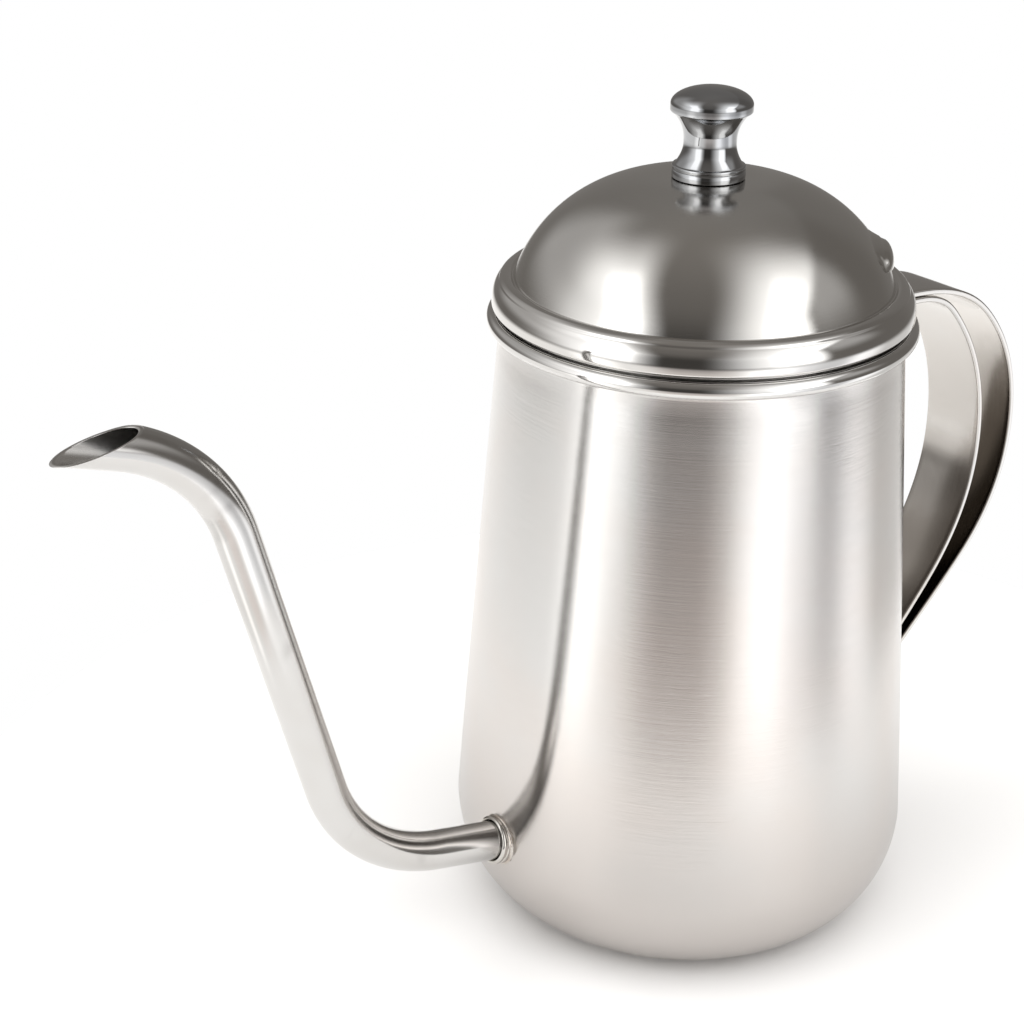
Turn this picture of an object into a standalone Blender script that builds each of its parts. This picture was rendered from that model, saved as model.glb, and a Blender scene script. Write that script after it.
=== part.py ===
"""Gooseneck pour-over kettle, stainless sheet metal.

Frame: +Z up, origin on the vessel axis in the plane it stands on, spout along
-X, handle along +X, the spout, vessel and handle share the plane Y = 0.
All lengths in metres.
"""
import bpy
import bmesh
import math
from mathutils import Vector, Matrix

MM = 0.001

# ---------------------------------------------------------------- dimensions
TURN_STEPS = 48            # facets of the large turned pieces
GAP = 0.3 * MM             # clearance between touching pieces

# vessel
WALL_T = 0.8 * MM
WALL_R_LOW = 48.13 * MM    # outside radius where the straight wall begins
WALL_Z_LOW = 19.2 * MM
WALL_R_TOP = 39.48 * MM    # outside radius under the rim bead
WALL_Z_TOP = 125.6 * MM
CORNER_RX = 15.2 * MM      # horizontal radius of the bottom corner
BELLY = 0.13 * MM          # slight outward bulge of the straight wall
LIP_R_IN = 29.6 * MM       # inner edge of the flat bottom lip
BEAD_R = 42.0 * MM         # outside radius of the rolled rim bead
BEAD_H = 3.4 * MM          # its height
RIM_Z = WALL_Z_TOP + BEAD_H

# base pan, stepped down to the standing plane
PAN_R = 31.6 * MM
PAN_T = 0.8 * MM
PAN_STEP_R = 28.6 * MM
PAN_STEP_RUN = 1.6 * MM

# spout: three straight runs joined by two bends, in the plane Y = 0
TUBE_R = 4.0 * MM
TUBE_T = 0.5 * MM
SPOUT_START = (43.6 * MM, 21.86 * MM)      # distance from the axis, height
SPOUT_LOW_CORNER = (82.1 * MM, 30.75 * MM)
SPOUT_TOP_CORNER = (106.2 * MM, 123.4 * MM)
SPOUT_MOUTH_ANGLE = math.radians(18.1)     # last run above horizontal
SPOUT_MOUTH_RUN = 31.0 * MM
SPOUT_LOW_BEND_R = 33.0 * MM
SPOUT_TOP_BEND_R = 30.0 * MM
MOUTH_TIP = (133.4 * MM, 128.1 * MM)       # the mouth's lowest, furthest point
MOUTH_CUT_ANGLE = math.radians(10.8)       # mouth plane falls towards the tip
COLLAR_R = 4.95 * MM
COLLAR_REACH = 2.0 * MM    # how far the collar stands off the wall

# handle: two flat straps; stations are (radius, height, heading below +X)
STRAP_W = 15.2 * MM
STRAP_T = 1.3 * MM
OUTER_STATIONS = (
    (34.0 * MM, 124.95 * MM, math.radians(0)),
    (53.0 * MM, 124.85 * MM, math.radians(2)),
    (75.9 * MM, 116.6 * MM, math.radians(44)),
    (88.25 * MM, 86.5 * MM, math.radians(90)),
    (76.6 * MM, 56.4 * MM, math.radians(132)),
    (42.0 * MM, 21.3 * MM, math.radians(135)),
)
INNER_STATIONS = (
    (34.0 * MM, 123.3 * MM, math.radians(0)),
    (54.0 * MM, 123.25 * MM, math.radians(2)),
    (65.0 * MM, 118.8 * MM, math.radians(46)),
    (78.1 * MM, 85.0 * MM, math.radians(90)),
    (66.6 * MM, 53.0 * MM, math.radians(128)),
    (42.0 * MM, 24.6 * MM, math.radians(133)),
)

# lid
LID_T = 0.7 * MM
DOME_A = 39.86 * MM        # superellipse radius, height and base of the dome
DOME_B = 41.02 * MM
DOME_Z = 115.0 * MM
DOME_E = 2.484
SEAT_DROP = 1.3 * MM       # flattening of the crown under the knob
SEAT_R = 11.0 * MM
CREASE_R = 36.75 * MM      # crease between dome and brim
BRIM_R = 41.2 * MM
BRIM_Z_LOW = 129.7 * MM
BRIM_LIP = 1.2 * MM        # straight lower lip of the brim
SKIRT_R = 38.15 * MM
SKIRT_T = 0.6 * MM
SKIRT_Z = 118.6 * MM
FLANGE_R = 40.15 * MM

# steam hood punched out of the dome
HOOD_AZ = math.radians(-40)
HOOD_Z = 139.6 * MM        # height of its open lower edge
HOOD_W = 7.4 * MM          # half width
HOOD_H = 3.9 * MM
HOOD_OUT = 1.7 * MM        # how far it stands out
HOOD_T = 0.55 * MM

# knob
KNOB_Z = 155.25 * MM
KNOB_RING_R = 7.0 * MM
KNOB_RING_H = 2.3 * MM
KNOB_FLARE_R = 6.45 * MM
KNOB_NECK_R = 5.0 * MM
KNOB_NECK_Z = 161.6 * MM
KNOB_CAP_R = 7.75 * MM
KNOB_CAP_Z = 167.4 * MM    # lower edge of the cap
KNOB_CAP_BAND = 1.2 * MM
KNOB_TOP_Z = 172.1 * MM
SCREW_R = 1.9 * MM
SCREW_HEAD_R = 3.6 * MM
SCREW_HEAD_H = 2.0 * MM
SCREW_LEN = 7.5 * MM       # reach above the washer
WASHER_R = 6.0 * MM
WASHER_T = 0.8 * MM

LID_LIFT = 80.0 * MM       # travel that takes the lid clear of the vessel

# ------------------------------------------------------------------- helpers
for ob in list(bpy.data.objects):
    bpy.data.objects.remove(ob, do_unlink=True)

scene = bpy.context.scene
kettle = bpy.data.collections.new("gooseneck_kettle")
cutters = bpy.data.collections.new("cutters")
scene.collection.children.link(kettle)
scene.collection.children.link(cutters)


def material(name, rgb, rough):
    m = bpy.data.materials.new(name)
    m.use_nodes = True
    b = m.node_tree.nodes["Principled BSDF"]
    b.inputs["Base Color"].default_value = (*rgb, 1.0)
    b.inputs["Metallic"].default_value = 1.0
    b.inputs["Roughness"].default_value = rough
    return m


def link(ob, cutter=False):
    (cutters if cutter else kettle).objects.link(ob)
    if cutter:
        ob.hide_render = True
        ob.display_type = 'WIRE'
    return ob


def activate(ob):
    bpy.ops.object.select_all(action='DESELECT')
    ob.select_set(True)
    bpy.context.view_layer.objects.active = ob


def smooth(ob, angle=30):
    activate(ob)
    bpy.ops.object.shade_smooth()
    ob.data.set_sharp_from_angle(angle=math.radians(angle))


def turned(name, profile, mat, steps=TURN_STEPS, cutter=False, closed=True):
    """Closed section (r, z) turned about Z with a Screw modifier."""
    me = bpy.data.meshes.new(name)
    bm = bmesh.new()
    vs = [bm.verts.new((r, 0.0, z)) for r, z in profile]
    for a, b in zip(vs, vs[1:]):
        bm.edges.new((a, b))
    if closed:
        bm.edges.new((vs[-1], vs[0]))
    bm.to_mesh(me)
    bm.free()
    ob = link(bpy.data.objects.new(name, me), cutter)
    s = ob.modifiers.new("turn", 'SCREW')
    s.axis = 'Z'
    s.angle = math.tau
    s.steps = steps
    s.render_steps = steps
    s.use_merge_vertices = True
    s.merge_threshold = 0.00001
    if mat:
        me.materials.append(mat)
    return ob


def bake(ob):
    """Evaluate the modifiers into the mesh."""
    dg = bpy.context.evaluated_depsgraph_get()
    me = bpy.data.meshes.new_from_object(ob.evaluated_get(dg))
    old = ob.data
    mats = [m for m in old.materials]
    ob.modifiers.clear()
    ob.data = me
    me.name = ob.name
    if not me.materials:
        for m in mats:
            me.materials.append(m)
    return ob


def tidy(ob, dist=0.000002):
    bm = bmesh.new()
    bm.from_mesh(ob.data)
    bmesh.ops.remove_doubles(bm, verts=bm.verts, dist=dist)
    bmesh.ops.recalc_face_normals(bm, faces=bm.faces)
    if bm.calc_volume(signed=True) < 0:
        bmesh.ops.reverse_faces(bm, faces=bm.faces)
    bm.to_mesh(ob.data)
    bm.free()
    return ob


def boolean(ob, cutter, op='DIFFERENCE'):
    m = ob.modifiers.new(op.lower() + "_" + cutter.name, 'BOOLEAN')
    m.operation = op
    m.solver = 'EXACT'
    m.object = cutter
    return m


def mesh_of_curve(cu_ob, name, mat, cutter=False):
    dg = bpy.context.evaluated_depsgraph_get()
    me = bpy.data.meshes.new_from_object(cu_ob.evaluated_get(dg))
    me.name = name
    ob = link(bpy.data.objects.new(name, me), cutter)
    ob.matrix_world = cu_ob.matrix_world.copy()
    bpy.data.objects.remove(cu_ob, do_unlink=True)
    tidy(ob)
    me.materials.clear()
    if mat:
        me.materials.append(mat)
    return ob


def arc(cx, cz, rx, rz, a0, a1, n):
    return [(cx + rx * math.cos(a0 + (a1 - a0) * i / n),
             cz + rz * math.sin(a0 + (a1 - a0) * i / n)) for i in range(n + 1)]


def offset(path, d):
    """Shift a polyline sideways by d (to the left of its heading)."""
    out = []
    n = len(path)
    for i in range(n):
        a = Vector(path[max(i - 1, 0)])
        b = Vector(path[min(i + 1, n - 1)])
        t = (b - a).normalized()
        out.append((path[i][0] - t.y * d, path[i][1] + t.x * d))
    return out


def wall_radius(z):
    """Outside radius of the vessel wall at height z."""
    if z <= WALL_Z_LOW:
        c = max(0.0, min(1.0, (WALL_Z_LOW - z) / WALL_Z_LOW))
        return WALL_R_LOW - CORNER_RX + CORNER_RX * math.sqrt(1 - c * c)
    s = (z - WALL_Z_LOW) / (WALL_Z_TOP - WALL_Z_LOW)
    return WALL_R_LOW + (WALL_R_TOP - WALL_R_LOW) * s + 4 * BELLY * s * (1 - s)


steel_satin = material("steel_satin", (0.80, 0.79, 0.77), 0.28)
steel_base = material("steel_base", (0.72, 0.71, 0.69), 0.35)
steel_tube = material("steel_tube", (0.82, 0.81, 0.79), 0.12)
steel_collar = material("steel_collar", (0.84, 0.83, 0.81), 0.10)
steel_strap_outer = material("steel_strap_outer", (0.80, 0.79, 0.77), 0.16)
steel_strap_inner = material("steel_strap_inner", (0.80, 0.78, 0.75), 0.18)
steel_lid = material("steel_lid", (0.78, 0.77, 0.75), 0.22)
steel_skirt = material("steel_skirt", (0.74, 0.73, 0.71), 0.30)
steel_knob = material("steel_knob", (0.86, 0.85, 0.84), 0.05)
steel_screw = material("steel_screw", (0.70, 0.70, 0.70), 0.25)
steel_washer = material("steel_washer", (0.72, 0.72, 0.71), 0.25)

# --------------------------------------------------------------- the vessel
# section: up the outside, over the bead, down the inside
outer = [(LIP_R_IN, 0.0)]
outer += arc(WALL_R_LOW - CORNER_RX, WALL_Z_LOW, CORNER_RX, WALL_Z_LOW,
             -math.pi / 2, 0.0, 7)
n = 4
outer += [(wall_radius(WALL_Z_LOW + (WALL_Z_TOP - WALL_Z_LOW) * i / n),
           WALL_Z_LOW + (WALL_Z_TOP - WALL_Z_LOW) * i / n)
          for i in range(1, n + 1)]
inner = offset(outer, WALL_T)
inner[0] = (LIP_R_IN, WALL_T)
inner[-1] = (WALL_R_TOP - WALL_T, WALL_Z_TOP)
bead_cx = (WALL_R_TOP - WALL_T + BEAD_R) / 2
bead_rx = BEAD_R - bead_cx
bead_cz = WALL_Z_TOP + BEAD_H / 2
bead_roll = arc(bead_cx, bead_cz, bead_rx, BEAD_H / 2,
                -math.pi / 2 + 0.25, math.pi - 0.35, 9)
section = outer + bead_roll + inner[::-1]
shell = turned("body_shell", section, steel_satin)
bake(shell)
tidy(shell)

# base pan: flange on the lip, stepped down to the standing plane
pan_low = [(0.0, 0.0), (PAN_STEP_R - PAN_STEP_RUN, 0.0)]
rise = WALL_T + GAP
for i in range(1, 5):
    s = i / 4
    pan_low.append((PAN_STEP_R - PAN_STEP_RUN * (1 - s),
                    rise * (0.5 - 0.5 * math.cos(math.pi * s))))
pan_low.append((PAN_R, rise))
pan_top = [(r, z + PAN_T) for r, z in pan_low]
pan = turned("base_pan", pan_low + pan_top[::-1], steel_base, closed=False)
bake(pan)
tidy(pan)

# --------------------------------------------------------------- the spout


def line_corner_path(points, radii, step=math.radians(6.5)):
    """Polyline with circular bends at the inner points."""
    pts = [Vector(p) for p in points]
    out = [pts[0]]
    for i in range(1, len(pts) - 1):
        a = (pts[i - 1] - pts[i]).normalized()
        b = (pts[i + 1] - pts[i]).normalized()
        turn = math.pi - a.angle(b)
        t = radii[i - 1] * math.tan(turn / 2)
        p0 = pts[i] + a * t
        c = pts[i] + (a + b).normalized() * (radii[i - 1] / math.cos(turn / 2))
        v0 = p0 - c
        sgn = 1 if (-a).cross(b) > 0 else -1
        m = max(3, int(round(turn / step)))
        for k in range(m + 1):
            ang = sgn * turn * k / m
            ca, sa = math.cos(ang), math.sin(ang)
            out.append(c + Vector((v0.x * ca - v0.y * sa, v0.x * sa + v0.y * ca)))
    out.append(pts[-1])
    return out


mouth_end = (SPOUT_TOP_CORNER[0] + SPOUT_MOUTH_RUN * math.cos(SPOUT_MOUTH_ANGLE),
             SPOUT_TOP_CORNER[1] + SPOUT_MOUTH_RUN * math.sin(SPOUT_MOUTH_ANGLE))
spout_path = line_corner_path(
    (SPOUT_START, SPOUT_LOW_CORNER, SPOUT_TOP_CORNER, mouth_end),
    (SPOUT_LOW_BEND_R, SPOUT_TOP_BEND_R))


def tube_along(name, path, radius, mat, res=6, cutter=False):
    cu = bpy.data.curves.new(name, 'CURVE')
    cu.dimensions = '3D'
    cu.bevel_depth = radius
    cu.bevel_resolution = res
    cu.use_fill_caps = True
    sp = cu.splines.new('POLY')
    sp.points.add(len(path) - 1)
    for p, q in zip(sp.points, path):
        p.co = (-q.x, 0.0, q.y, 1.0)
    tmp = bpy.data.objects.new(name + "_path", cu)
    cutters.objects.link(tmp)
    bpy.context.view_layer.update()
    return mesh_of_curve(tmp, name, mat, cutter)


tube = tube_along("spout_tube", spout_path, TUBE_R, steel_tube, 7)
# the bore runs a little past both ends of the tube
d0 = (spout_path[0] - spout_path[1]).normalized()
d1 = (spout_path[-1] - spout_path[-2]).normalized()
bore_path = [spout_path[0] + d0 * 2 * MM] + spout_path[1:-1] + \
            [spout_path[-1] + d1 * 2 * MM]
bore = tube_along("spout_bore_cutter", bore_path, TUBE_R - TUBE_T, None, 6, True)


def box_cutter(name, size, loc, rot_y=0.0):
    me = bpy.data.meshes.new(name)
    bm = bmesh.new()
    bmesh.ops.create_cube(bm, size=1.0)
    bmesh.ops.scale(bm, vec=size, verts=bm.verts)
    bm.to_mesh(me)
    bm.free()
    ob = link(bpy.data.objects.new(name, me), True)
    ob.location = loc
    ob.rotation_euler = (0.0, rot_y, 0.0)
    return ob


# the mouth plane: through the tip, falling outwards
cut_h = 20 * MM
nx = -math.sin(MOUTH_CUT_ANGLE)
nz = math.cos(MOUTH_CUT_ANGLE)
mouth_cut = box_cutter("spout_mouth_cutter", (60 * MM, 20 * MM, cut_h),
                       (-MOUTH_TIP[0] + nx * cut_h / 2, 0.0,
                        MOUTH_TIP[1] + nz * cut_h / 2), -MOUTH_CUT_ANGLE)
boolean(tube, mouth_cut)
boolean(tube, bore)
bpy.context.view_layer.update()
bake(tube)
tidy(tube)

# hole in the wall where the tube passes through
spout_dir = (Vector(SPOUT_LOW_CORNER) - Vector(SPOUT_START)).normalized()
spout_q = Vector((-spout_dir.x, 0.0, spout_dir.y)).to_track_quat('Z', 'Y')
start3 = Vector((-SPOUT_START[0], 0.0, SPOUT_START[1]))


def along_spout(name, profile, mat, steps, cutter=False, closed=True):
    ob = turned(name, profile, mat, steps, cutter, closed)
    bake(ob)
    tidy(ob)
    ob.data.transform(Matrix.Translation(start3) @ spout_q.to_matrix().to_4x4())
    return ob


hole = along_spout("spout_hole_cutter",
                   [(0.0, -5 * MM), (TUBE_R + GAP, -5 * MM),
                    (TUBE_R + GAP, 9 * MM), (0.0, 9 * MM)], None, 32, True,
                   False)
boolean(shell, hole)
bpy.context.view_layer.update()
bake(shell)
tidy(shell)

# envelope of the vessel plus the clearance, used to scribe what meets it
env = [(0.0, 2 * MM), (wall_radius(2 * MM) + GAP, 2 * MM)]
for i in range(1, 9):
    z = 2 * MM + (WALL_Z_LOW - 2 * MM) * i / 8
    env.append((wall_radius(z) + GAP, z))
for i in range(1, 8):
    z = WALL_Z_LOW + (WALL_Z_TOP - WALL_Z_LOW) * i / 7
    env.append((wall_radius(z) + GAP, z))
env.append((0.0, WALL_Z_TOP))
envelope = turned("wall_envelope_cutter", env, None, 96, True, False)
bake(envelope)
tidy(envelope)

# collar: a turned ring on the tube, scribed to the wall
hit = 0.0
while (start3 + Vector((-spout_dir.x, 0, spout_dir.y)) * hit).x > \
        -wall_radius(start3.z + spout_dir.y * hit):
    hit += 0.05 * MM
ring_end = hit + COLLAR_REACH
rr = 0.55 * MM
collar_section = [(TUBE_R + 0.15 * MM, hit - 3 * MM), (COLLAR_R, hit - 3 * MM)]
collar_section += arc(COLLAR_R - rr, ring_end - rr, rr, rr, 0.0, math.pi / 2, 4)
collar_section += [(TUBE_R + 0.15 * MM, ring_end)]
collar = along_spout("spout_collar", collar_section, steel_collar, 32)
boolean(collar, envelope)
bpy.context.view_layer.update()
bake(collar)
tidy(collar)

# --------------------------------------------------------------- the handle


def station_path(stations, per=9):
    """Cubic runs through stations given with their headings."""
    out = []
    for (x0, z0, a0), (x1, z1, a1) in zip(stations, stations[1:]):
        chord = math.hypot(x1 - x0, z1 - z0)
        turn = abs(a1 - a0)
        h = chord / 3 / max(0.4, math.cos(turn / 2) ** 0.9)
        p0 = Vector((x0, z0))
        p1 = p0 + Vector((math.cos(a0), -math.sin(a0))) * h
        p3 = Vector((x1, z1))
        p2 = p3 - Vector((math.cos(a1), -math.sin(a1))) * h
        m = per if turn > 0.06 else 4
        for k in range(m):
            t = k / m
            out.append(p0 * (1 - t) ** 3 + p1 * 3 * t * (1 - t) ** 2 +
                       p2 * 3 * t * t * (1 - t) + p3 * t ** 3)
    out.append(Vector(stations[-1][:2]))
    return [(p.x, p.y) for p in out]


def strap(name, stations, mat):
    outside = station_path(stations)
    inside = offset(outside, -STRAP_T)
    ring = outside + inside[::-1]
    cu = bpy.data.curves.new(name, 'CURVE')
    cu.dimensions = '2D'
    cu.fill_mode = 'BOTH'
    cu.extrude = STRAP_W / 2
    sp = cu.splines.new('POLY')
    sp.points.add(len(ring) - 1)
    for p, q in zip(sp.points, ring):
        p.co = (q[0], q[1], 0.0, 1.0)
    sp.use_cyclic_u = True
    tmp = bpy.data.objects.new(name + "_outline", cu)
    tmp.rotation_euler = (math.pi / 2, 0.0, 0.0)
    cutters.objects.link(tmp)
    bpy.context.view_layer.update()
    ob = mesh_of_curve(tmp, name, mat)
    ob.data.transform(ob.matrix_world)
    ob.matrix_world = Matrix.Identity(4)
    b = ob.modifiers.new("edge_round", 'BEVEL')
    b.width = 0.18 * MM
    b.segments = 2
    b.limit_method = 'ANGLE'
    b.angle_limit = math.radians(60)
    boolean(ob, envelope)
    bpy.context.view_layer.update()
    bake(ob)
    tidy(ob)
    return ob


outer_strap = strap("handle_outer_strap", OUTER_STATIONS, steel_strap_outer)
inner_strap = strap("handle_inner_strap", INNER_STATIONS, steel_strap_inner)

# --------------------------------------------------------------- the lid


def dome_z(r):
    base = DOME_Z + DOME_B * max(0.0, 1 - (r / DOME_A) ** DOME_E) ** (1 / DOME_E)
    return base - SEAT_DROP * math.exp(-(r / SEAT_R) ** 2)


BORE_R = SCREW_R + 0.35 * MM
lid_out = []
n = 12
for i in range(n + 1):
    s = i / n
    r = BORE_R + (CREASE_R - BORE_R) * math.sin(s * math.pi / 2) ** 0.92
    lid_out.append((r, dome_z(r)))
crease_z = dome_z(CREASE_R)
# brim: rolled out from the crease and down to a short straight lip
brim_top = crease_z + 0.1 * MM
lid_out += [(CREASE_R + 0.25 * MM, crease_z - 0.05 * MM)]
lid_out += arc(CREASE_R + 0.7 * MM, BRIM_Z_LOW + BRIM_LIP,
               BRIM_R - CREASE_R - 0.7 * MM, brim_top - BRIM_Z_LOW - BRIM_LIP,
               math.pi / 2, 0.0, 6)
lid_out += [(BRIM_R, BRIM_Z_LOW + 0.35 * MM), (BRIM_R - 0.18 * MM, BRIM_Z_LOW)]
lid_in = offset(lid_out, -LID_T)
lid_in[0] = (BORE_R, lid_in[0][1])
lid_in[-1] = (BRIM_R - LID_T, BRIM_Z_LOW)
lid_in[-2] = (BRIM_R - LID_T, BRIM_Z_LOW + 0.35 * MM)
dome = turned("lid_dome", lid_out + lid_in[::-1], steel_lid)
bake(dome)
tidy(dome)

# steam hood: half of a flattened ellipsoid shell over an opening
hood_r = None
r = 20 * MM
while dome_z(r) > HOOD_Z + HOOD_H * 0.35:
    r += 0.05 * MM
hood_r = r
lean = math.atan2(dome_z(hood_r) - dome_z(hood_r + 0.2 * MM), 0.2 * MM)


def ellipsoid(name, a, b, c):
    """Upper part of an ellipsoid: a outwards, b sideways, c upwards."""
    me = bpy.data.meshes.new(name)
    bm = bmesh.new()
    bmesh.ops.create_uvsphere(bm, u_segments=24, v_segments=14, radius=1.0)
    bmesh.ops.scale(bm, vec=(a, b, c), verts=bm.verts)
    bmesh.ops.bisect_plane(bm, geom=bm.verts[:] + bm.edges[:] + bm.faces[:],
                           plane_co=(0, 0, 0), plane_no=(0, 0, 1),
                           clear_inner=True)
    edges = [e for e in bm.edges if e.is_boundary]
    bmesh.ops.contextual_create(bm, geom=edges)
    bmesh.ops.recalc_face_normals(bm, faces=bm.faces)
    bm.to_mesh(me)
    bm.free()
    ob = link(bpy.data.objects.new(name, me), True)
    ob.location = (math.cos(HOOD_AZ) * hood_r, math.sin(HOOD_AZ) * hood_r, HOOD_Z)
    ob.rotation_euler = (0.0, 0.0, HOOD_AZ)
    return ob


hood_outer = ellipsoid("hood_outer_form", HOOD_OUT + 0.6 * MM, HOOD_W, HOOD_H)
hood_inner = ellipsoid("hood_inner_cutter", HOOD_OUT + 0.6 * MM - HOOD_T,
                       HOOD_W - HOOD_T, HOOD_H - HOOD_T)
hood_inner.location.z -= 0.02 * MM
bpy.context.view_layer.update()
# the dome's own inside surface is kept clear of the hood form
lining = [(0.0, SKIRT_Z)] + [(CREASE_R - LID_T, SKIRT_Z)]
lining += [(p[0], p[1]) for p in lid_in[:n + 1][::-1]]
lining[-1] = (0.0, lid_in[0][1])
liner = turned("lid_hollow_cutter", lining, None, TURN_STEPS, True, False)
bake(liner)
tidy(liner)
boolean(hood_outer, liner)
bpy.context.view_layer.update()
boolean(dome, hood_outer, 'UNION')
boolean(dome, hood_inner)
bpy.context.view_layer.update()
bake(dome)
tidy(dome)

# inner skirt with the flange that rests on the rim bead
flange_z = RIM_Z + GAP
skirt_section = [
    (FLANGE_R, flange_z), (FLANGE_R, flange_z + SKIRT_T),
    (SKIRT_R - SKIRT_T, flange_z + SKIRT_T),
    (SKIRT_R - SKIRT_T, SKIRT_Z + 1.2 * MM),
    (SKIRT_R - SKIRT_T - 0.8 * MM, SKIRT_Z),
    (SKIRT_R - 0.8 * MM, SKIRT_Z),
    (SKIRT_R, SKIRT_Z + 1.0 * MM), (SKIRT_R, flange_z),
]
skirt = turned("lid_skirt", skirt_section, steel_skirt)
bake(skirt)
tidy(skirt)

# knob, turned in one piece with a blind hole for its screw
crown = lid_in[0][1]               # underside of the crown at the bore
screw_top = crown - GAP + SCREW_LEN
knob_section = [(0.0, screw_top + GAP), (SCREW_R + 0.25 * MM, screw_top + GAP),
                (SCREW_R + 0.25 * MM, KNOB_Z), (KNOB_RING_R - 0.2 * MM, KNOB_Z),
                (KNOB_RING_R, KNOB_Z + 0.2 * MM),
                (KNOB_RING_R, KNOB_Z + KNOB_RING_H - 0.15 * MM),
                (KNOB_RING_R - 0.15 * MM, KNOB_Z + KNOB_RING_H)]
flare_z = KNOB_Z + KNOB_RING_H
n = 5
for i in range(n + 1):
    s = i / n
    knob_section.append((KNOB_NECK_R + (KNOB_FLARE_R - KNOB_NECK_R) * (1 - s) ** 2,
                         flare_z + (KNOB_NECK_Z - flare_z) * s))
for i in range(1, n + 1):
    s = i / n
    knob_section.append((KNOB_NECK_R + (KNOB_CAP_R - 0.5 * MM - KNOB_NECK_R) * s ** 2.4,
                         KNOB_NECK_Z + (KNOB_CAP_Z - KNOB_NECK_Z) * s))
knob_section += [(KNOB_CAP_R, KNOB_CAP_Z + 0.3 * MM)]
cap_z = KNOB_CAP_Z + 0.3 * MM + KNOB_CAP_BAND
knob_section += arc(0.0, cap_z, KNOB_CAP_R, KNOB_TOP_Z - cap_z, 0.0, math.pi / 2, 7)
knob_section[-1] = (0.0, KNOB_TOP_Z)
knob = turned("knob", knob_section, steel_knob, 32, closed=False)
bake(knob)
tidy(knob)

# screw and washer inside the lid
washer_top = crown - GAP
washer = turned("screw_washer", [
    (SCREW_R + 0.2 * MM, washer_top - WASHER_T), (WASHER_R, washer_top - WASHER_T),
    (WASHER_R, washer_top), (SCREW_R + 0.2 * MM, washer_top)], steel_washer, 32)
bake(washer)
tidy(washer)
head_top = washer_top - WASHER_T - GAP
screw_section = [(0.0, head_top - SCREW_HEAD_H)]
screw_section += arc(0.0, head_top - SCREW_HEAD_H * 0.45, SCREW_HEAD_R,
                     SCREW_HEAD_H * 0.55, -math.pi / 2 + 0.3, 0.0, 4)
screw_section += [(SCREW_HEAD_R, head_top), (SCREW_R, head_top),
                  (SCREW_R, screw_top - 0.4 * MM), (SCREW_R - 0.4 * MM, screw_top),
                  (0.0, screw_top)]
screw = turned("knob_screw", screw_section, steel_screw, 24, closed=False)
bake(screw)
tidy(screw)
slot = box_cutter("screw_slot_cutter", (0.9 * MM, 8 * MM, 1.4 * MM),
                  (0.0, 0.0, head_top - SCREW_HEAD_H))
boolean(screw, slot)
bpy.context.view_layer.update()
bake(screw)
tidy(screw)

# ---------------------------------------------------- shading and placement
for ob in (shell, pan, tube, collar, dome, skirt, knob, screw, washer):
    smooth(ob, 35)
for ob in (outer_strap, inner_strap):
    smooth(ob, 30)

# the lid lifts along the vessel axis; its origin stands at the rim
seat = bpy.data.objects.new("lid_axis", None)
seat.empty_display_size = 0.02
seat.location = (0.0, 0.0, RIM_Z)
kettle.objects.link(seat)
seat.hide_render = True
bpy.context.view_layer.update()
for ob in (dome, skirt, knob, screw, washer):
    mw = ob.matrix_world.copy()
    ob.parent = seat
    ob.matrix_world = mw
bpy.context.view_layer.update()
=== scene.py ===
"""Looks of the gooseneck pour-over kettle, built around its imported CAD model.

Every CAD node is replaced by a finely built piece of the same size in the same
place: turned sheets with true radii, a swept spout with a rounded oblique
mouth, a louvred steam hood, rounded straps and welded roots. All lengths are
in metres, +Z up, spout along -X, handle along +X.
"""
import bpy
import math
import numpy as np
from mathutils import Matrix, Vector


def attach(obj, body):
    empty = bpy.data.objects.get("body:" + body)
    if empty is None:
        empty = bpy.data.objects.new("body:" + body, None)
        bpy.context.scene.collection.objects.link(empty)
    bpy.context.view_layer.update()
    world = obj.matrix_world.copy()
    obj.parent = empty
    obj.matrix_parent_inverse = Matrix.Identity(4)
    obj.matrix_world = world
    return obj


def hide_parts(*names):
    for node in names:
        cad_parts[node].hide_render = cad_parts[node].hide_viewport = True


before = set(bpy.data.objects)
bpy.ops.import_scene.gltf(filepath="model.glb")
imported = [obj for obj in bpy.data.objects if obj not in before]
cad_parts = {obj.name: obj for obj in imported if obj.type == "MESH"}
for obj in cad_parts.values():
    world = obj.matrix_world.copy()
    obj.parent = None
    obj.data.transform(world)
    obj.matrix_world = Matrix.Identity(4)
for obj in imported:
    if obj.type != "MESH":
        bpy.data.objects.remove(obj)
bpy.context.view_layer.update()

MM = 0.001
STEPS = 288       # segments of the large turned pieces
FINE = 160         # segments of the small turned pieces

# ------------------------------------------------------------ CAD dimensions
WALL_T = 0.8 * MM
WALL_R_LOW, WALL_Z_LOW = 48.13 * MM, 19.2 * MM
WALL_R_TOP, WALL_Z_TOP = 39.48 * MM, 125.6 * MM
CORNER_RX = 15.2 * MM
BELLY = 0.13 * MM
LIP_R_IN = 29.6 * MM
BEAD_R, BEAD_H = 42.0 * MM, 3.4 * MM
RIM_Z = WALL_Z_TOP + BEAD_H
GAP = 0.3 * MM

PAN_R, PAN_T = 31.6 * MM, 0.8 * MM
PAN_STEP_R, PAN_STEP_RUN = 28.6 * MM, 1.6 * MM

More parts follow.
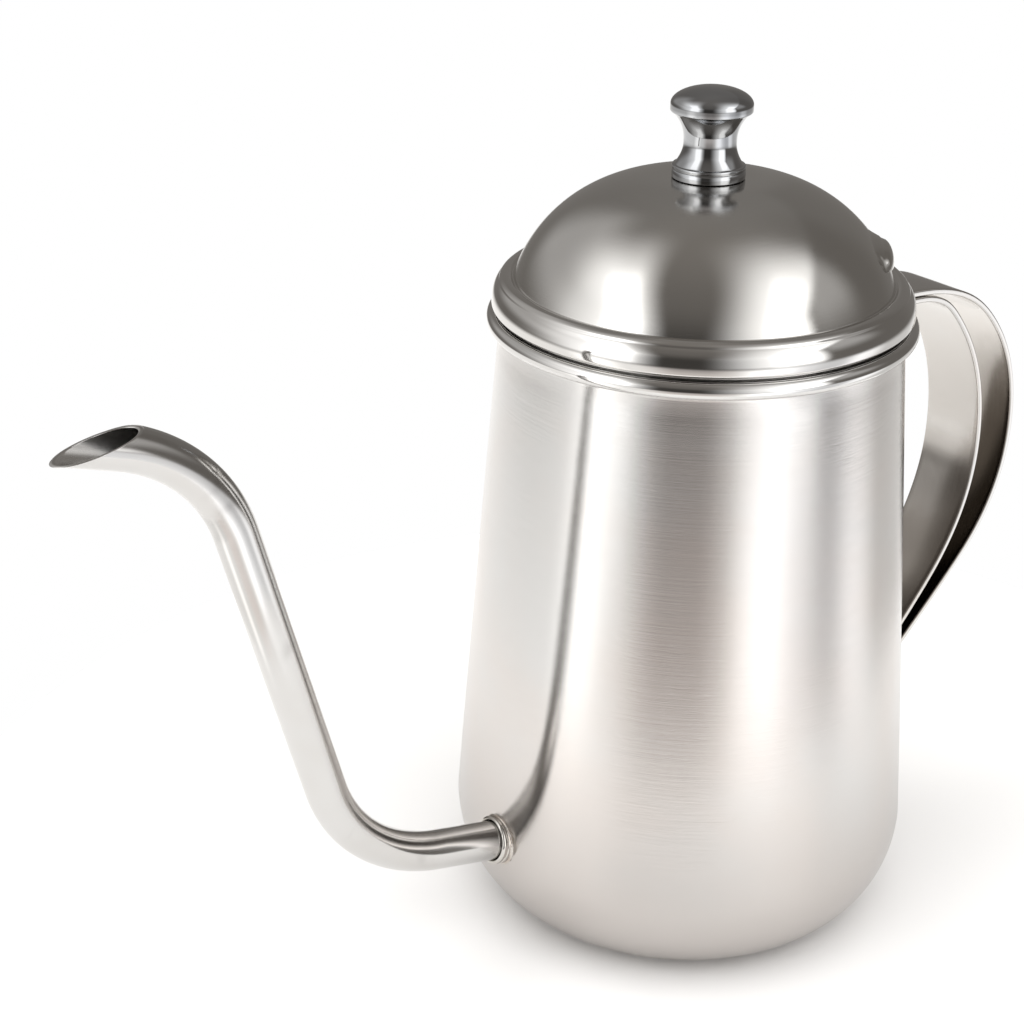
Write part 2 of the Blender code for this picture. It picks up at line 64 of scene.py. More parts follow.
TUBE_R, TUBE_T = 4.0 * MM, 0.5 * MM
SPOUT_START = (43.6 * MM, 21.86 * MM)
SPOUT_LOW_CORNER = (82.1 * MM, 30.75 * MM)
SPOUT_TOP_CORNER = (106.2 * MM, 123.4 * MM)
SPOUT_MOUTH_ANGLE = math.radians(18.1)
SPOUT_LOW_BEND_R, SPOUT_TOP_BEND_R = 33.0 * MM, 30.0 * MM
MOUTH_TIP = (133.2 * MM, 128.1 * MM)
MOUTH_CUT_ANGLE = math.radians(10.8)
COLLAR_R, COLLAR_REACH = 4.95 * MM, 2.0 * MM

STRAP_W, STRAP_T = 15.2 * MM, 1.3 * MM
OUTER_STATIONS = (
    (34.0 * MM, 124.95 * MM, 0.0), (53.0 * MM, 124.85 * MM, 2.0),
    (75.9 * MM, 116.6 * MM, 44.0), (88.25 * MM, 86.5 * MM, 90.0),
    (76.6 * MM, 56.4 * MM, 132.0), (42.0 * MM, 21.3 * MM, 135.0))
INNER_STATIONS = (
    (34.0 * MM, 123.3 * MM, 0.0), (54.0 * MM, 123.25 * MM, 2.0),
    (65.0 * MM, 118.8 * MM, 46.0), (78.1 * MM, 85.0 * MM, 90.0),
    (66.6 * MM, 53.0 * MM, 128.0), (42.0 * MM, 24.6 * MM, 133.0))

LID_T = 0.7 * MM
DOME_A, DOME_B, DOME_Z, DOME_E = 39.86 * MM, 41.02 * MM, 115.0 * MM, 2.484
SEAT_DROP, SEAT_R = 1.3 * MM, 11.0 * MM
CREASE_R = 36.75 * MM
BRIM_R, BRIM_Z_LOW, BRIM_LIP = 41.0 * MM, 129.7 * MM, 1.2 * MM
BRIM_STEP_R = 39.5 * MM
SKIRT_R, SKIRT_T, SKIRT_Z = 38.15 * MM, 0.6 * MM, 118.6 * MM
FLANGE_R = 40.15 * MM
HOOD_AZ = math.radians(-40)
HOOD_Z, HOOD_W, HOOD_H = 139.6 * MM, 7.4 * MM, 3.9 * MM
HOOD_OUT = 1.95 * MM

KNOB_Z = 155.25 * MM
KNOB_SEAT = KNOB_Z - 0.21 * MM     # the turned face sits close on the crown
KNOB_RING_R, KNOB_RING_H = 7.0 * MM, 2.3 * MM
KNOB_FLARE_R, KNOB_NECK_R, KNOB_NECK_Z = 6.45 * MM, 5.0 * MM, 161.6 * MM
KNOB_CAP_R, KNOB_CAP_Z, KNOB_CAP_BAND = 7.75 * MM, 167.4 * MM, 1.2 * MM
KNOB_TOP_Z = 172.1 * MM
SCREW_R, SCREW_HEAD_R, SCREW_HEAD_H, SCREW_LEN = 1.9 * MM, 3.6 * MM, 2.0 * MM, 7.5 * MM
WASHER_R, WASHER_T = 6.0 * MM, 0.8 * MM

scene = bpy.context.scene


# =================================================================== shaders
class Nodes:
    """Small helper that adds nodes to a tree and links them."""

    def __init__(self, tree):
        self.t = tree
        tree.nodes.clear()

    def add(self, kind, **props):
        n = self.t.nodes.new(kind)
        for k, v in props.items():
            setattr(n, k, v)
        return n

    def put(self, socket, value):
        if isinstance(value, bpy.types.NodeSocket):
            self.t.links.new(value, socket)
        else:
            socket.default_value = value

    def math(self, op, a, b=None, c=None, clamp=False):
        n = self.add("ShaderNodeMath", operation=op, use_clamp=clamp)
        for s, v in zip(n.inputs, (a, b, c)):
            if v is not None:
                self.put(s, v)
        return n.outputs[0]

    def vec(self, x, y, z):
        n = self.add("ShaderNodeCombineXYZ")
        for s, v in zip(n.inputs, (x, y, z)):
            self.put(s, v)
        return n.outputs[0]

    def span(self, v, a, b, lo=0.0, hi=1.0, smooth=True):
        n = self.add("ShaderNodeMapRange",
                     interpolation_type='SMOOTHSTEP' if smooth else 'LINEAR')
        self.put(n.inputs["Value"], v)
        for k, x in (("From Min", a), ("From Max", b), ("To Min", lo), ("To Max", hi)):
            n.inputs[k].default_value = x
        return n.outputs["Result"]

    def noise(self, vector, scale=1.0, detail=2.0, rough=0.5, distortion=0.0):
        n = self.add("ShaderNodeTexNoise")
        self.put(n.inputs["Vector"], vector)
        n.inputs["Scale"].default_value = scale
        n.inputs["Detail"].default_value = detail
        n.inputs["Roughness"].default_value = rough
        n.inputs["Distortion"].default_value = distortion
        return n.outputs["Fac"]

    def mix(self, fac, a, b):
        n = self.add("ShaderNodeMix", data_type='RGBA')
        self.put(n.inputs[0], fac)
        for s, v in ((n.inputs[6], a), (n.inputs[7], b)):
            self.put(s, (*v, 1.0) if isinstance(v, tuple) and len(v) == 3 else v)
        return n.outputs[2]

    def bump(self, height, distance, strength=1.0, normal=None):
        n = self.add("ShaderNodeBump")
        self.put(n.inputs["Height"], height)
        n.inputs["Strength"].default_value = strength
        n.inputs["Distance"].default_value = distance
        if normal is not None:
            self.put(n.inputs["Normal"], normal)
        return n.outputs["Normal"]


def turned_metal(name, warm, cool, rough, aniso=0.0, lines=5000.0, depth=2e-6,
                 rough_lines=0.05, rough_cloud=0.04, kr=0.0, kz=1.0,
                 arc_scale=2.2, scratch=0.0, cloud=28.0, wave=0.0, wave_scale=60.0,
                 foot=None):
    """Steel finished on a lathe: fine lines run round Z, broken along the arc.

    foot: (low height, high height, tone at the low one), painted shade that darkens the colour towards the
    low height."""
    m = bpy.data.materials.new(name)
    m.use_nodes = True
    n = Nodes(m.node_tree)
    out = n.add("ShaderNodeOutputMaterial")
    b = n.add("ShaderNodeBsdfPrincipled")
    n.t.links.new(b.outputs[0], out.inputs[0])
    tc = n.add("ShaderNodeTexCoord")
    p = tc.outputs["Object"]
    sep = n.add("ShaderNodeSeparateXYZ")
    n.put(sep.inputs[0], p)
    x, y, z = sep.outputs
    r = n.math('SQRT', n.math('ADD', n.math('MULTIPLY', x, x), n.math('MULTIPLY', y, y)))
    r = n.math('MAXIMUM', r, 1e-5)
    ux, uy = n.math('DIVIDE', x, r), n.math('DIVIDE', y, r)
    s = n.math('ADD', n.math('MULTIPLY', z, kz), n.math('MULTIPLY', r, kr))
    fine = n.noise(n.vec(n.math('MULTIPLY', ux, arc_scale), n.math('MULTIPLY', uy, arc_scale),
                         n.math('MULTIPLY', s, lines)), 1.0, 3.0, 0.62)
    broad = n.noise(n.vec(n.math('MULTIPLY', ux, arc_scale * 0.5),
                          n.math('MULTIPLY', uy, arc_scale * 0.5),
                          n.math('MULTIPLY', s, lines * 0.13)), 1.0, 4.0, 0.6)
    clouds = n.noise(p, cloud, 3.0, 0.55, 0.4)
    fac = n.span(clouds, 0.33, 0.67)
    tone = n.mix(fac, warm, cool)
    # painted shade: the colour darkens towards the foot
    if foot:
        tone = n.mix(n.span(z, foot[0], foot[1]), tuple(c * foot[2] for c in warm), tone)
    n.put(b.inputs["Base Color"], tone)
    b.inputs["Metallic"].default_value = 1.0
    rg = n.math('MULTIPLY_ADD', n.math('SUBTRACT', fine, 0.5), rough_lines * 2, rough)
    rg = n.math('MULTIPLY_ADD', n.math('SUBTRACT', broad, 0.5), rough_lines, rg)
    rg = n.math('MULTIPLY_ADD', n.math('SUBTRACT', clouds, 0.5), rough_cloud * 2, rg)
    n.put(b.inputs["Roughness"], n.math('MAXIMUM', rg, 0.02))
    h = n.math('MULTIPLY_ADD', broad, 0.8, fine)
    if scratch:
        # sparse longer polishing marks, slightly off the lathe direction
        sc = n.noise(n.vec(n.math('MULTIPLY', ux, 9.0), n.math('MULTIPLY', uy, 9.0),
                           n.math('MULTIPLY', n.math('ADD', s, n.math('MULTIPLY', x, 0.12)),
                                  1700.0)), 1.0, 1.0, 0.5)
        marks = n.span(sc, 0.66, 0.74)
        h = n.math('MULTIPLY_ADD', marks, -scratch, h)
    nrm = n.bump(h, depth)
    if wave:
        nrm = n.bump(n.noise(p, wave_scale, 1.0, 0.4), wave, 1.0, nrm)
    n.put(b.inputs["Normal"], nrm)
    b.inputs["Specular IOR Level"].default_value = 0.5
    if aniso:
        b.inputs["Anisotropic"].default_value = aniso
        b.inputs["Anisotropic Rotation"].default_value = 0.25
        tg = n.add("ShaderNodeTangent", direction_type='RADIAL', axis='Z')
        n.put(b.inputs["Tangent"], tg.outputs[0])
    return m


def drawn_metal(name, warm, cool, rough, along=14.0, across=2600.0, depth=1.2e-6,
                wave=0.0, wave_scale=90.0, rough_lines=0.03, mottle=0.02, painted_shade=None,
                stain=0.0):
    """Steel polished along its length: lines follow the "flow" attribute.

    painted_shade: (low height, high height, tone at the low one), painted shade that darkens the colour
    towards the low height."""
    m = bpy.data.materials.new(name)
    m.use_nodes = True
    n = Nodes(m.node_tree)
    out = n.add("ShaderNodeOutputMaterial")
    b = n.add("ShaderNodeBsdfPrincipled")
    n.t.links.new(b.outputs[0], out.inputs[0])
    at = n.add("ShaderNodeAttribute", attribute_name="flow")
    sep = n.add("ShaderNodeSeparateXYZ")
    n.put(sep.inputs[0], at.outputs["Vector"])
    u, v, w = sep.outputs
    fine = n.noise(n.vec(n.math('MULTIPLY', u, along), n.math('MULTIPLY', v, across),
                         n.math('MULTIPLY', w, across)), 1.0, 3.0, 0.6)
    tc = n.add("ShaderNodeTexCoord")
    p = tc.outputs["Object"]
    clouds = n.noise(p, 45.0, 3.0, 0.55, 0.5)
    tone = n.mix(n.span(clouds, 0.35, 0.65), warm, cool)
    # painted shade: the colour darkens towards the low height
    if painted_shade:
        hs = n.add("ShaderNodeSeparateXYZ")
        n.put(hs.inputs[0], p)
        h = n.math('MULTIPLY_ADD', n.math('SUBTRACT', clouds, 0.5), 0.03, hs.outputs[2])
        tone = n.mix(n.span(h, painted_shade[0], painted_shade[1]), tuple(c * painted_shade[2] * k for c, k in
                                                        zip(warm, (1.0, 0.95, 0.9))), tone)
    if stain:
        # soft duller patches left by hand polishing
        spots = n.noise(p, 62.0, 2.0, 0.5, 0.8)
        tone = n.mix(n.span(spots, 0.60, 0.78, 0.0, stain), tone, (0.30, 0.29, 0.28))
    n.put(b.inputs["Base Color"], tone)
    b.inputs["Metallic"].default_value = 1.0
    rg = n.math('MULTIPLY_ADD', n.math('SUBTRACT', fine, 0.5), rough_lines * 2, rough)
    rg = n.math('MULTIPLY_ADD', n.math('SUBTRACT', clouds, 0.5), mottle * 2, rg)
    n.put(b.inputs["Roughness"], n.math('MAXIMUM', rg, 0.02))
    nrm = n.bump(fine, depth)
    if wave:
        nrm = n.bump(n.noise(p, wave_scale, 1.5, 0.45, 0.3), wave, 1.0, nrm)
    n.put(b.inputs["Normal"], nrm)
    b.inputs["Specular IOR Level"].default_value = 0.5
    return m


STEEL_WARM, STEEL_COOL = (0.672, 0.634, 0.606), (0.668, 0.662, 0.652)

# painted shade: the wall's colour darkens towards the bottom, for the darker reflection near the table
mat_wall = turned_metal("steel_wall_brushed", STEEL_WARM, STEEL_COOL, 0.17, 0.96,
                        lines=12000.0, depth=1.3e-5, rough_lines=0.03,
                        rough_cloud=0.02, scratch=0.25, cloud=17.0,
                        foot=(8.0 * MM, 52.0 * MM, 0.76))
mat_bead = turned_metal("steel_bead_polished", STEEL_COOL, (0.675, 0.665, 0.65), 0.09, 0.0,
                        lines=4200.0, depth=0.7e-6, rough_lines=0.03, rough_cloud=0.02,
                        kr=0.7, arc_scale=5.0, wave=1.2e-5, wave_scale=140.0)
mat_dome = turned_metal("steel_dome_satin", (0.655, 0.64, 0.615), (0.655, 0.645, 0.625),
                        0.115, 0.85, lines=10000.0, depth=0.5e-5, rough_lines=0.05,
                        rough_cloud=0.05, kr=-1.0, arc_scale=6.0, scratch=0.4, cloud=30.0,
                        wave=6.0e-5, wave_scale=38.0)
mat_brim = turned_metal("steel_brim_polished", (0.67, 0.655, 0.635), (0.675, 0.665, 0.65),
                        0.085, 0.0, lines=4200.0, depth=0.8e-6, rough_lines=0.03,
                        rough_cloud=0.02, kr=-1.0, arc_scale=5.0, wave=1.0e-5,
                        wave_scale=150.0)
mat_inner = turned_metal("steel_inside_matt", (0.68, 0.665, 0.645), (0.69, 0.68, 0.665),
                         0.42, 0.5, lines=3000.0, depth=3e-6, rough_lines=0.06,
                         rough_cloud=0.05, kr=0.4, scratch=0.3)
mat_base = turned_metal("steel_base_turned", (0.69, 0.675, 0.655), (0.70, 0.69, 0.675),
                        0.36, 0.6, lines=2600.0, depth=5e-6, rough_lines=0.06,
                        rough_cloud=0.05, kr=1.0, kz=0.3, scratch=0.4)
mat_skirt = turned_metal("steel_skirt_satin", (0.70, 0.685, 0.665), (0.71, 0.70, 0.685),
                         0.30, 0.7, lines=3600.0, depth=2.5e-6, kr=0.8, scratch=0.3)
mat_collar = turned_metal("steel_collar_polished", (0.52, 0.49, 0.45),
                          (0.60, 0.58, 0.55), 0.10, 0.0, lines=900.0, depth=2e-6,
                          rough_lines=0.03, rough_cloud=0.03, arc_scale=40.0, cloud=160.0,
                          wave=2.0e-5, wave_scale=420.0)
mat_weld = turned_metal("steel_weld_bright", (0.50, 0.44, 0.385), (0.62, 0.59, 0.56),
                        0.24, 0.0, lines=900.0, depth=6e-6, rough_lines=0.05,
                        rough_cloud=0.1, arc_scale=60.0, cloud=420.0, wave=4e-5,
                        wave_scale=900.0)
mat_knob = turned_metal("steel_knob_chrome", (0.43, 0.435, 0.44), (0.42, 0.43, 0.445),
                        0.035, 0.0, lines=3500.0, depth=1.5e-7, rough_lines=0.012,
                        rough_cloud=0.012, kr=0.6, cloud=90.0, arc_scale=6.0)
mat_screw = turned_metal("steel_screw_zinc", (0.66, 0.655, 0.64), (0.68, 0.68, 0.68),
                         0.27, 0.0, lines=3200.0, depth=4e-6, kr=1.0, cloud=240.0,
                         scratch=0.3)
mat_washer = turned_metal("steel_washer_pressed", (0.66, 0.65, 0.63), (0.69, 0.685, 0.68),
                          0.30, 0.0, lines=2400.0, depth=5e-6, kr=1.0, cloud=200.0,
                          scratch=0.5)
mat_tube = drawn_metal("steel_tube_polished", (0.60, 0.588, 0.572), (0.625, 0.618, 0.607),
                       0.15, along=16.0, across=2400.0, depth=0.3e-6, wave=3.5e-5,
                       wave_scale=70.0, rough_lines=0.03, mottle=0.07, stain=0.55)
mat_bore = drawn_metal("steel_bore_satin", (0.682, 0.668, 0.65), (0.685, 0.678, 0.665),
                       0.27, along=30.0, across=1500.0, depth=2e-6, wave=3e-5,
                       wave_scale=120.0, rough_lines=0.05, mottle=0.05)
mat_strap_outer = drawn_metal("steel_strap_outer_polished", (0.672, 0.652, 0.628),
                              (0.675, 0.662, 0.645), 0.13, along=20.0, across=1800.0,
                              depth=1.2e-6, wave=1.5e-5, wave_scale=60.0)
mat_strap_inner = drawn_metal("steel_strap_inner_polished", (0.672, 0.648, 0.62),
                              (0.672, 0.658, 0.64), 0.15, along=20.0, across=1800.0,
                              depth=1.4e-6, wave=1.5e-5, wave_scale=60.0)
# the faces of the straps that look at each other: painted shade, a darker colour that darkens further towards
# the bottom
mat_strap_gap_painted_shade = drawn_metal("steel_strap_gap_painted_shade", (0.64, 0.61, 0.575),
                            (0.63, 0.605, 0.575), 0.16, along=20.0, across=1800.0,
                            depth=1.4e-6, wave=1.5e-5, wave_scale=60.0,
                            painted_shade=(84.0 * MM, 112.0 * MM, 0.40))
# the inner face of the inner strap: painted shade, a darker colour that darkens further towards the bottom
mat_strap_palm_painted_shade = drawn_metal("steel_strap_palm_polished_painted_shade", (0.60, 0.575, 0.545),
                             (0.61, 0.59, 0.565), 0.14, along=20.0, across=1800.0,
                             depth=1.4e-6, wave=1.5e-5, wave_scale=60.0,
                             painted_shade=(58.0 * MM, 98.0 * MM, 0.45))


# =================================================================== meshes
def new_piece(name, verts, faces, mats, face_mats=None, sharp=None, flow=None):
    """verts (n,3); faces (m,4), a triangle has -1 last. Normals are made to face out."""
    V = np.asarray(verts, float)
    F = np.asarray(faces, int)
    a, b_, c = V[F[:, 0]], V[F[:, 1]], V[F[:, 2]]
    d = V[np.where(F[:, 3] < 0, F[:, 2], F[:, 3])]
    vol = np.einsum('ij,ij->i', a, np.cross(b_, c)).sum() + \
        np.einsum('ij,ij->i', a, np.cross(c, d)).sum()
    if vol < 0:
        tri = F[:, 3] < 0
        G = F[:, ::-1].copy()
        G[tri] = np.concatenate([F[tri][:, 2::-1], -np.ones((tri.sum(), 1), int)], 1)
        F = G
    counts = np.where(F[:, 3] < 0, 3, 4)
    loops = F[F >= 0]
    me = bpy.data.meshes.new(name)
    me.vertices.add(len(V))
    me.vertices.foreach_set("co", V.ravel())
    me.loops.add(len(loops))
    me.loops.foreach_set("vertex_index", loops.astype(np.int32))
    me.polygons.add(len(F))
    me.polygons.foreach_set("loop_start",
                            np.concatenate([[0], np.cumsum(counts)[:-1]]).astype(np.int32))
    me.polygons.foreach_set("use_smooth", np.ones(len(F), bool))
    for m in mats:
        me.materials.append(m)
    if face_mats is not None:
        me.polygons.foreach_set("material_index", np.asarray(face_mats, np.int32))
    me.update(calc_edges=True)
    if flow is not None:
        at = me.attributes.new("flow", 'FLOAT_VECTOR', 'POINT')
        at.data.foreach_set("vector", np.asarray(flow, np.float32).ravel())
    if sharp:
        me.set_sharp_from_angle(angle=math.radians(sharp))
    ob = bpy.data.objects.new(name, me)
    scene.collection.objects.link(ob)
    return ob


def turned(name, profile, mats, steps, closed=True, seg_mats=None, sharp=40):
    """Section (r, z) turned about Z. Points on the axis become single poles."""
    P = np.asarray(profile, float)
    ang = np.arange(steps) * math.tau / steps
    ca, sa = np.cos(ang), np.sin(ang)
    verts, index = [], []
    for r, z in P:
        if r < 1e-7:
            index.append(np.full(steps, len(verts)))
            verts.append((0.0, 0.0, z))
        else:
            k = len(verts)
            index.append(np.arange(k, k + steps))
            verts.extend(zip(r * ca, r * sa, np.full(steps, z)))
    faces, fm = [], []
    n = len(P)
    for i in range(n if closed else n - 1):
        j = (i + 1) % n
        a, b = index[i], index[j]
        pa, pb = P[i][0] < 1e-7, P[j][0] < 1e-7
        if pa and pb:
            continue
        a2, b2 = np.roll(a, -1), np.roll(b, -1)
        if pa:
            q = np.stack([a, b2, b, -np.ones(steps, int)], 1)
        elif pb:
            q = np.stack([a, a2, b, -np.ones(steps, int)], 1)
        else:
            q = np.stack([a, a2, b2, b], 1)
        faces.append(q)
        fm.append(np.full(steps, seg_mats(i) if seg_mats else 0))
    return new_piece(name, verts, np.concatenate(faces), mats, np.concatenate(fm), sharp)


def arc(cx, cz, rx, rz, a0, a1, n):
    return [(cx + rx * math.cos(a0 + (a1 - a0) * i / n),
             cz + rz * math.sin(a0 + (a1 - a0) * i / n)) for i in range(n + 1)]


def offset(path, d):
    """Shift a polyline sideways by d, to the left of its heading."""
    Q = np.asarray(path, float)
    T = np.empty_like(Q)
    T[1:-1] = Q[2:] - Q[:-2]
    T[0], T[-1] = Q[1] - Q[0], Q[-1] - Q[-2]
    T /= np.linalg.norm(T, axis=1)[:, None]
    return [tuple(v) for v in Q + d * np.stack([-T[:, 1], T[:, 0]], 1)]


def wall_radius(z):
    z = np.asarray(z, float)
    c = np.clip((WALL_Z_LOW - z) / WALL_Z_LOW, 0.0, 1.0)
    low = WALL_R_LOW - CORNER_RX + CORNER_RX * np.sqrt(1 - c * c)
    s = (z - WALL_Z_LOW) / (WALL_Z_TOP - WALL_Z_LOW)
    up = WALL_R_LOW + (WALL_R_TOP - WALL_R_LOW) * s + 4 * BELLY * s * (1 - s)
    return np.where(z <= WALL_Z_LOW, low, up)


def wall_normal(p):
    """Outward normal of the vessel wall below a point near it."""
    x, y, z = p
    h = 0.05 * MM
    slope = (wall_radius(z + h) - wall_radius(z - h)) / (2 * h)
    r = math.hypot(x, y)
    v = np.array([x / r, y / r, -float(slope)])
    return v / np.linalg.norm(v)


# ------------------------------------------------------------------ vessel
section, tags = [], []


def extend(points, tag):
    for q in points:
        if section and math.hypot(q[0] - section[-1][0], q[1] - section[-1][1]) < 1e-7:
            continue
        section.append(q)
        tags.append(tag)


outer = [(LIP_R_IN, 0.0), (LIP_R_IN + 1.5 * MM, 0.0)]
outer += arc(WALL_R_LOW - CORNER_RX, WALL_Z_LOW, CORNER_RX, WALL_Z_LOW,
             -math.pi / 2, 0.0, 34)
n_wall = 26
zs = [WALL_Z_LOW + (WALL_Z_TOP - WALL_Z_LOW) * i / n_wall for i in range(1, n_wall)]
outer += [(float(wall_radius(z)), z) for z in zs]
# the wall turns out into the bead through a small concave root
outer += [(WALL_R_TOP + 0.012 * MM, WALL_Z_TOP - 0.9 * MM),
          (WALL_R_TOP + 0.03 * MM, WALL_Z_TOP - 0.45 * MM),
          (WALL_R_TOP + 0.12 * MM, WALL_Z_TOP - 0.12 * MM)]
bead_cx = (WALL_R_TOP - WALL_T + BEAD_R) / 2
bead_rx = BEAD_R - bead_cx
bead_cz = WALL_Z_TOP + BEAD_H / 2
roll = arc(bead_cx, bead_cz, bead_rx, BEAD_H / 2, -math.pi / 2 + 0.30, math.pi - 0.30, 44)
inner = offset(outer[:-3], WALL_T)
inner[0] = (LIP_R_IN, WALL_T)
inner = inner + [(WALL_R_TOP - WALL_T, WALL_Z_TOP)]
extend([(LIP_R_IN, 0.12 * MM)], 0)
extend([(LIP_R_IN + 0.12 * MM, 0.0)] + outer[1:-1], 0)
extend(outer[-1:], 1)
extend(roll, 1)
extend(inner[::-1][:-1], 2)
extend([(LIP_R_IN + 0.1 * MM, WALL_T), (LIP_R_IN, WALL_T - 0.1 * MM)], 2)


def shell_mat(i):
    j = (i + 1) % len(tags)
    return tags[i] if tags[i] == tags[j] else min(tags[i], tags[j])


shell = turned("vessel_shell", section, [mat_wall, mat_bead, mat_inner], STEPS,
               seg_mats=shell_mat, sharp=50)

# hole in the wall for the spout
spout_dir = np.array([SPOUT_LOW_CORNER[0] - SPOUT_START[0],
                      SPOUT_LOW_CORNER[1] - SPOUT_START[1]])
spout_dir /= np.linalg.norm(spout_dir)
start3 = Vector((-SPOUT_START[0], 0.0, SPOUT_START[1]))
dir3 = Vector((-spout_dir[0], 0.0, spout_dir[1]))
along_m = Matrix.Translation(start3) @ dir3.to_track_quat('Z', 'Y').to_matrix().to_4x4()
hole = turned("spout_hole_form", [(0.0, -5 * MM), (TUBE_R + GAP, -5 * MM),
                                  (TUBE_R + GAP, 9 * MM), (0.0, 9 * MM)],
              [mat_inner], 48, closed=False, sharp=40)
hole.data.transform(along_m)
cut = shell.modifiers.new("spout_hole", 'BOOLEAN')
cut.operation, cut.solver, cut.object = 'DIFFERENCE', 'EXACT', hole
bpy.context.view_layer.update()
cut_mesh = bpy.data.meshes.new_from_object(
    shell.evaluated_get(bpy.context.evaluated_depsgraph_get()))
shell.modifiers.clear()
shell.data = cut_mesh
bpy.data.objects.remove(hole, do_unlink=True)

# base pan: rim flange, soft step and a shallow turned centre ring
rise = WALL_T + GAP
low = [(0.0, 0.0), (9.0 * MM, 0.0), (9.6 * MM, 0.05 * MM), (10.2 * MM, 0.05 * MM),
       (10.8 * MM, 0.0)]
low += [(r * MM, 0.0) for r in (14, 18, 22, 25, 26.6)]
for i in range(1, 13):
    s = i / 12
    low.append((PAN_STEP_R - PAN_STEP_RUN * (1 - s), rise * (0.5 - 0.5 * math.cos(math.pi * s))))
low += [(29.5 * MM, rise), (PAN_R - 0.25 * MM, rise)]
top = offset(low, PAN_T)
top[0] = (0.0, PAN_T)
pan = turned("vessel_base_pan",
             low + [(PAN_R - 0.07 * MM, rise + 0.07 * MM), (PAN_R, rise + 0.25 * MM),
                    (PAN_R, rise + PAN_T - 0.25 * MM),
                    (PAN_R - 0.07 * MM, rise + PAN_T - 0.07 * MM)] + top[::-1],
             [mat_base], STEPS // 2, closed=False, sharp=45)


# ------------------------------------------------------------------- spout
def bend_path(points, radii, straight=1.2 * MM, step=math.radians(0.45)):
    """Dense centre line: straight runs joined by circular bends."""
    pts = [np.array(p, float) for p in points]
    out = []

    def run(a, b):
        k = max(2, int(np.linalg.norm(b - a) / straight))
        for i in range(k):
            out.append(a + (b - a) * i / k)
    here = pts[0]
    for i in range(1, len(pts) - 1):
        a = (pts[i - 1] - pts[i]) / np.linalg.norm(pts[i - 1] - pts[i])
        b = (pts[i + 1] - pts[i]) / np.linalg.norm(pts[i + 1] - pts[i])
        turn = math.pi - math.acos(float(np.clip(a @ b, -1, 1)))
        t = radii[i - 1] * math.tan(turn / 2)
        p0 = pts[i] + a * t
        run(here, p0)
        mid = (a + b) / np.linalg.norm(a + b)
        c = pts[i] + mid * (radii[i - 1] / math.cos(turn / 2))
        v0 = p0 - c
        sgn = 1 if (-a[0] * b[1] + a[1] * b[0]) > 0 else -1
        k = int(round(turn / step))
        for j in range(k):
            g = sgn * turn * j / k
            out.append(c + np.array([v0[0] * math.cos(g) - v0[1] * math.sin(g),
                                     v0[0] * math.sin(g) + v0[1] * math.cos(g)]))
        here = pts[i] + b * t
    out.append(here)
    return np.array(out), here


mdir = np.array([math.cos(SPOUT_MOUTH_ANGLE), math.sin(SPOUT_MOUTH_ANGLE)])
top_corner = np.array(SPOUT_TOP_CORNER)
centre, last = bend_path((SPOUT_START, SPOUT_LOW_CORNER, SPOUT_TOP_CORNER,
                          tuple(top_corner + mdir * 31 * MM)),
                         (SPOUT_LOW_BEND_R, SPOUT_TOP_BEND_R))
mouth_n = np.array([math.sin(MOUTH_CUT_ANGLE), math.cos(MOUTH_CUT_ANGLE)])
tip = np.array(MOUTH_TIP)
ROUND = 72
theta = np.arange(ROUND) * math.tau / ROUND


def tube_rings(radius, trim_start):
    """Rings of one tube surface, from the vessel to the oblique mouth."""
    T = np.empty_like(centre)
    T[1:-1] = centre[2:] - centre[:-2]
    T[0], T[-1] = centre[1] - centre[0], mdir
    T /= np.linalg.norm(T, axis=1)[:, None]
    rings = []
    for c, t in zip(centre, T):
        nrm = np.array([-t[1], t[0]])
        q = c[None] + radius * np.cos(theta)[:, None] * nrm[None]
        rings.append(np.stack([-q[:, 0], radius * np.sin(theta), q[:, 1]], 1))
    # the last straight run, well past the mouth
    nrm = np.array([-mdir[1], mdir[0]])
    base = last[None] + radius * np.cos(theta)[:, None] * nrm[None]
    for w in np.linspace(0, 34 * MM, 60)[1:]:
        q = base + w * mdir[None]
        rings.append(np.stack([-q[:, 0], radius * np.sin(theta), q[:, 1]], 1))
    # every line of the tube is cut at the mouth plane by itself
    G = np.array(rings)
    f = (-G[:, :, 0] - tip[0]) * mouth_n[0] + (G[:, :, 2] - tip[1]) * mouth_n[1]
    k0 = int(np.where((f > -5.0 * MM).any(axis=1))[0][0])
    out = [G[i] for i in range(k0 + 1)]
    cut = np.empty((48, len(theta), 3))
    for j in range(len(theta)):
        e = k0 + int(np.where(f[k0:, j] >= 0)[0][0])
        w = f[e - 1, j] / (f[e - 1, j] - f[e, j])
        line = np.concatenate([G[k0:e, j], [G[e - 1, j] * (1 - w) + G[e, j] * w]])
        d = np.concatenate([[0], np.cumsum(np.linalg.norm(np.diff(line, axis=0), axis=1))])
        q = np.linspace(0, d[-1], 49)[1:]
        for c in range(3):
            cut[:, j, c] = np.interp(q, d, line[:, c])
    rings = out + list(cut)
    return rings[trim_start:]


ring_out = tube_rings(TUBE_R, 0)
ring_in = tube_rings(TUBE_R - TUBE_T, 0)
n3 = np.array([-mouth_n[0], 0.0, mouth_n[1]])
lip = []
for w, up in ((0.16, 0.10), (0.5, 0.16), (0.84, 0.10)):
    lip.append(ring_out[-1] * (1 - w) + ring_in[-1] * w + n3 * (up - 0.16) * MM)
ring_out[-1] = ring_out[-1] - n3 * 0.16 * MM
ring_in[-1] = ring_in[-1] - n3 * 0.16 * MM
rings = ring_out + lip + ring_in[::-1]
V = np.concatenate(rings)
length, flow = 0.0, []
for i, ring in enumerate(rings):
    if i:
        length += float(np.linalg.norm(ring.mean(0) - rings[i - 1].mean(0)))
    rad = TUBE_R if i < len(ring_out) else TUBE_R - TUBE_T
    flow.append(np.stack([np.full(ROUND, length), rad * np.cos(theta), rad * np.sin(theta)], 1))
F, FT = [], []
k = len(rings)
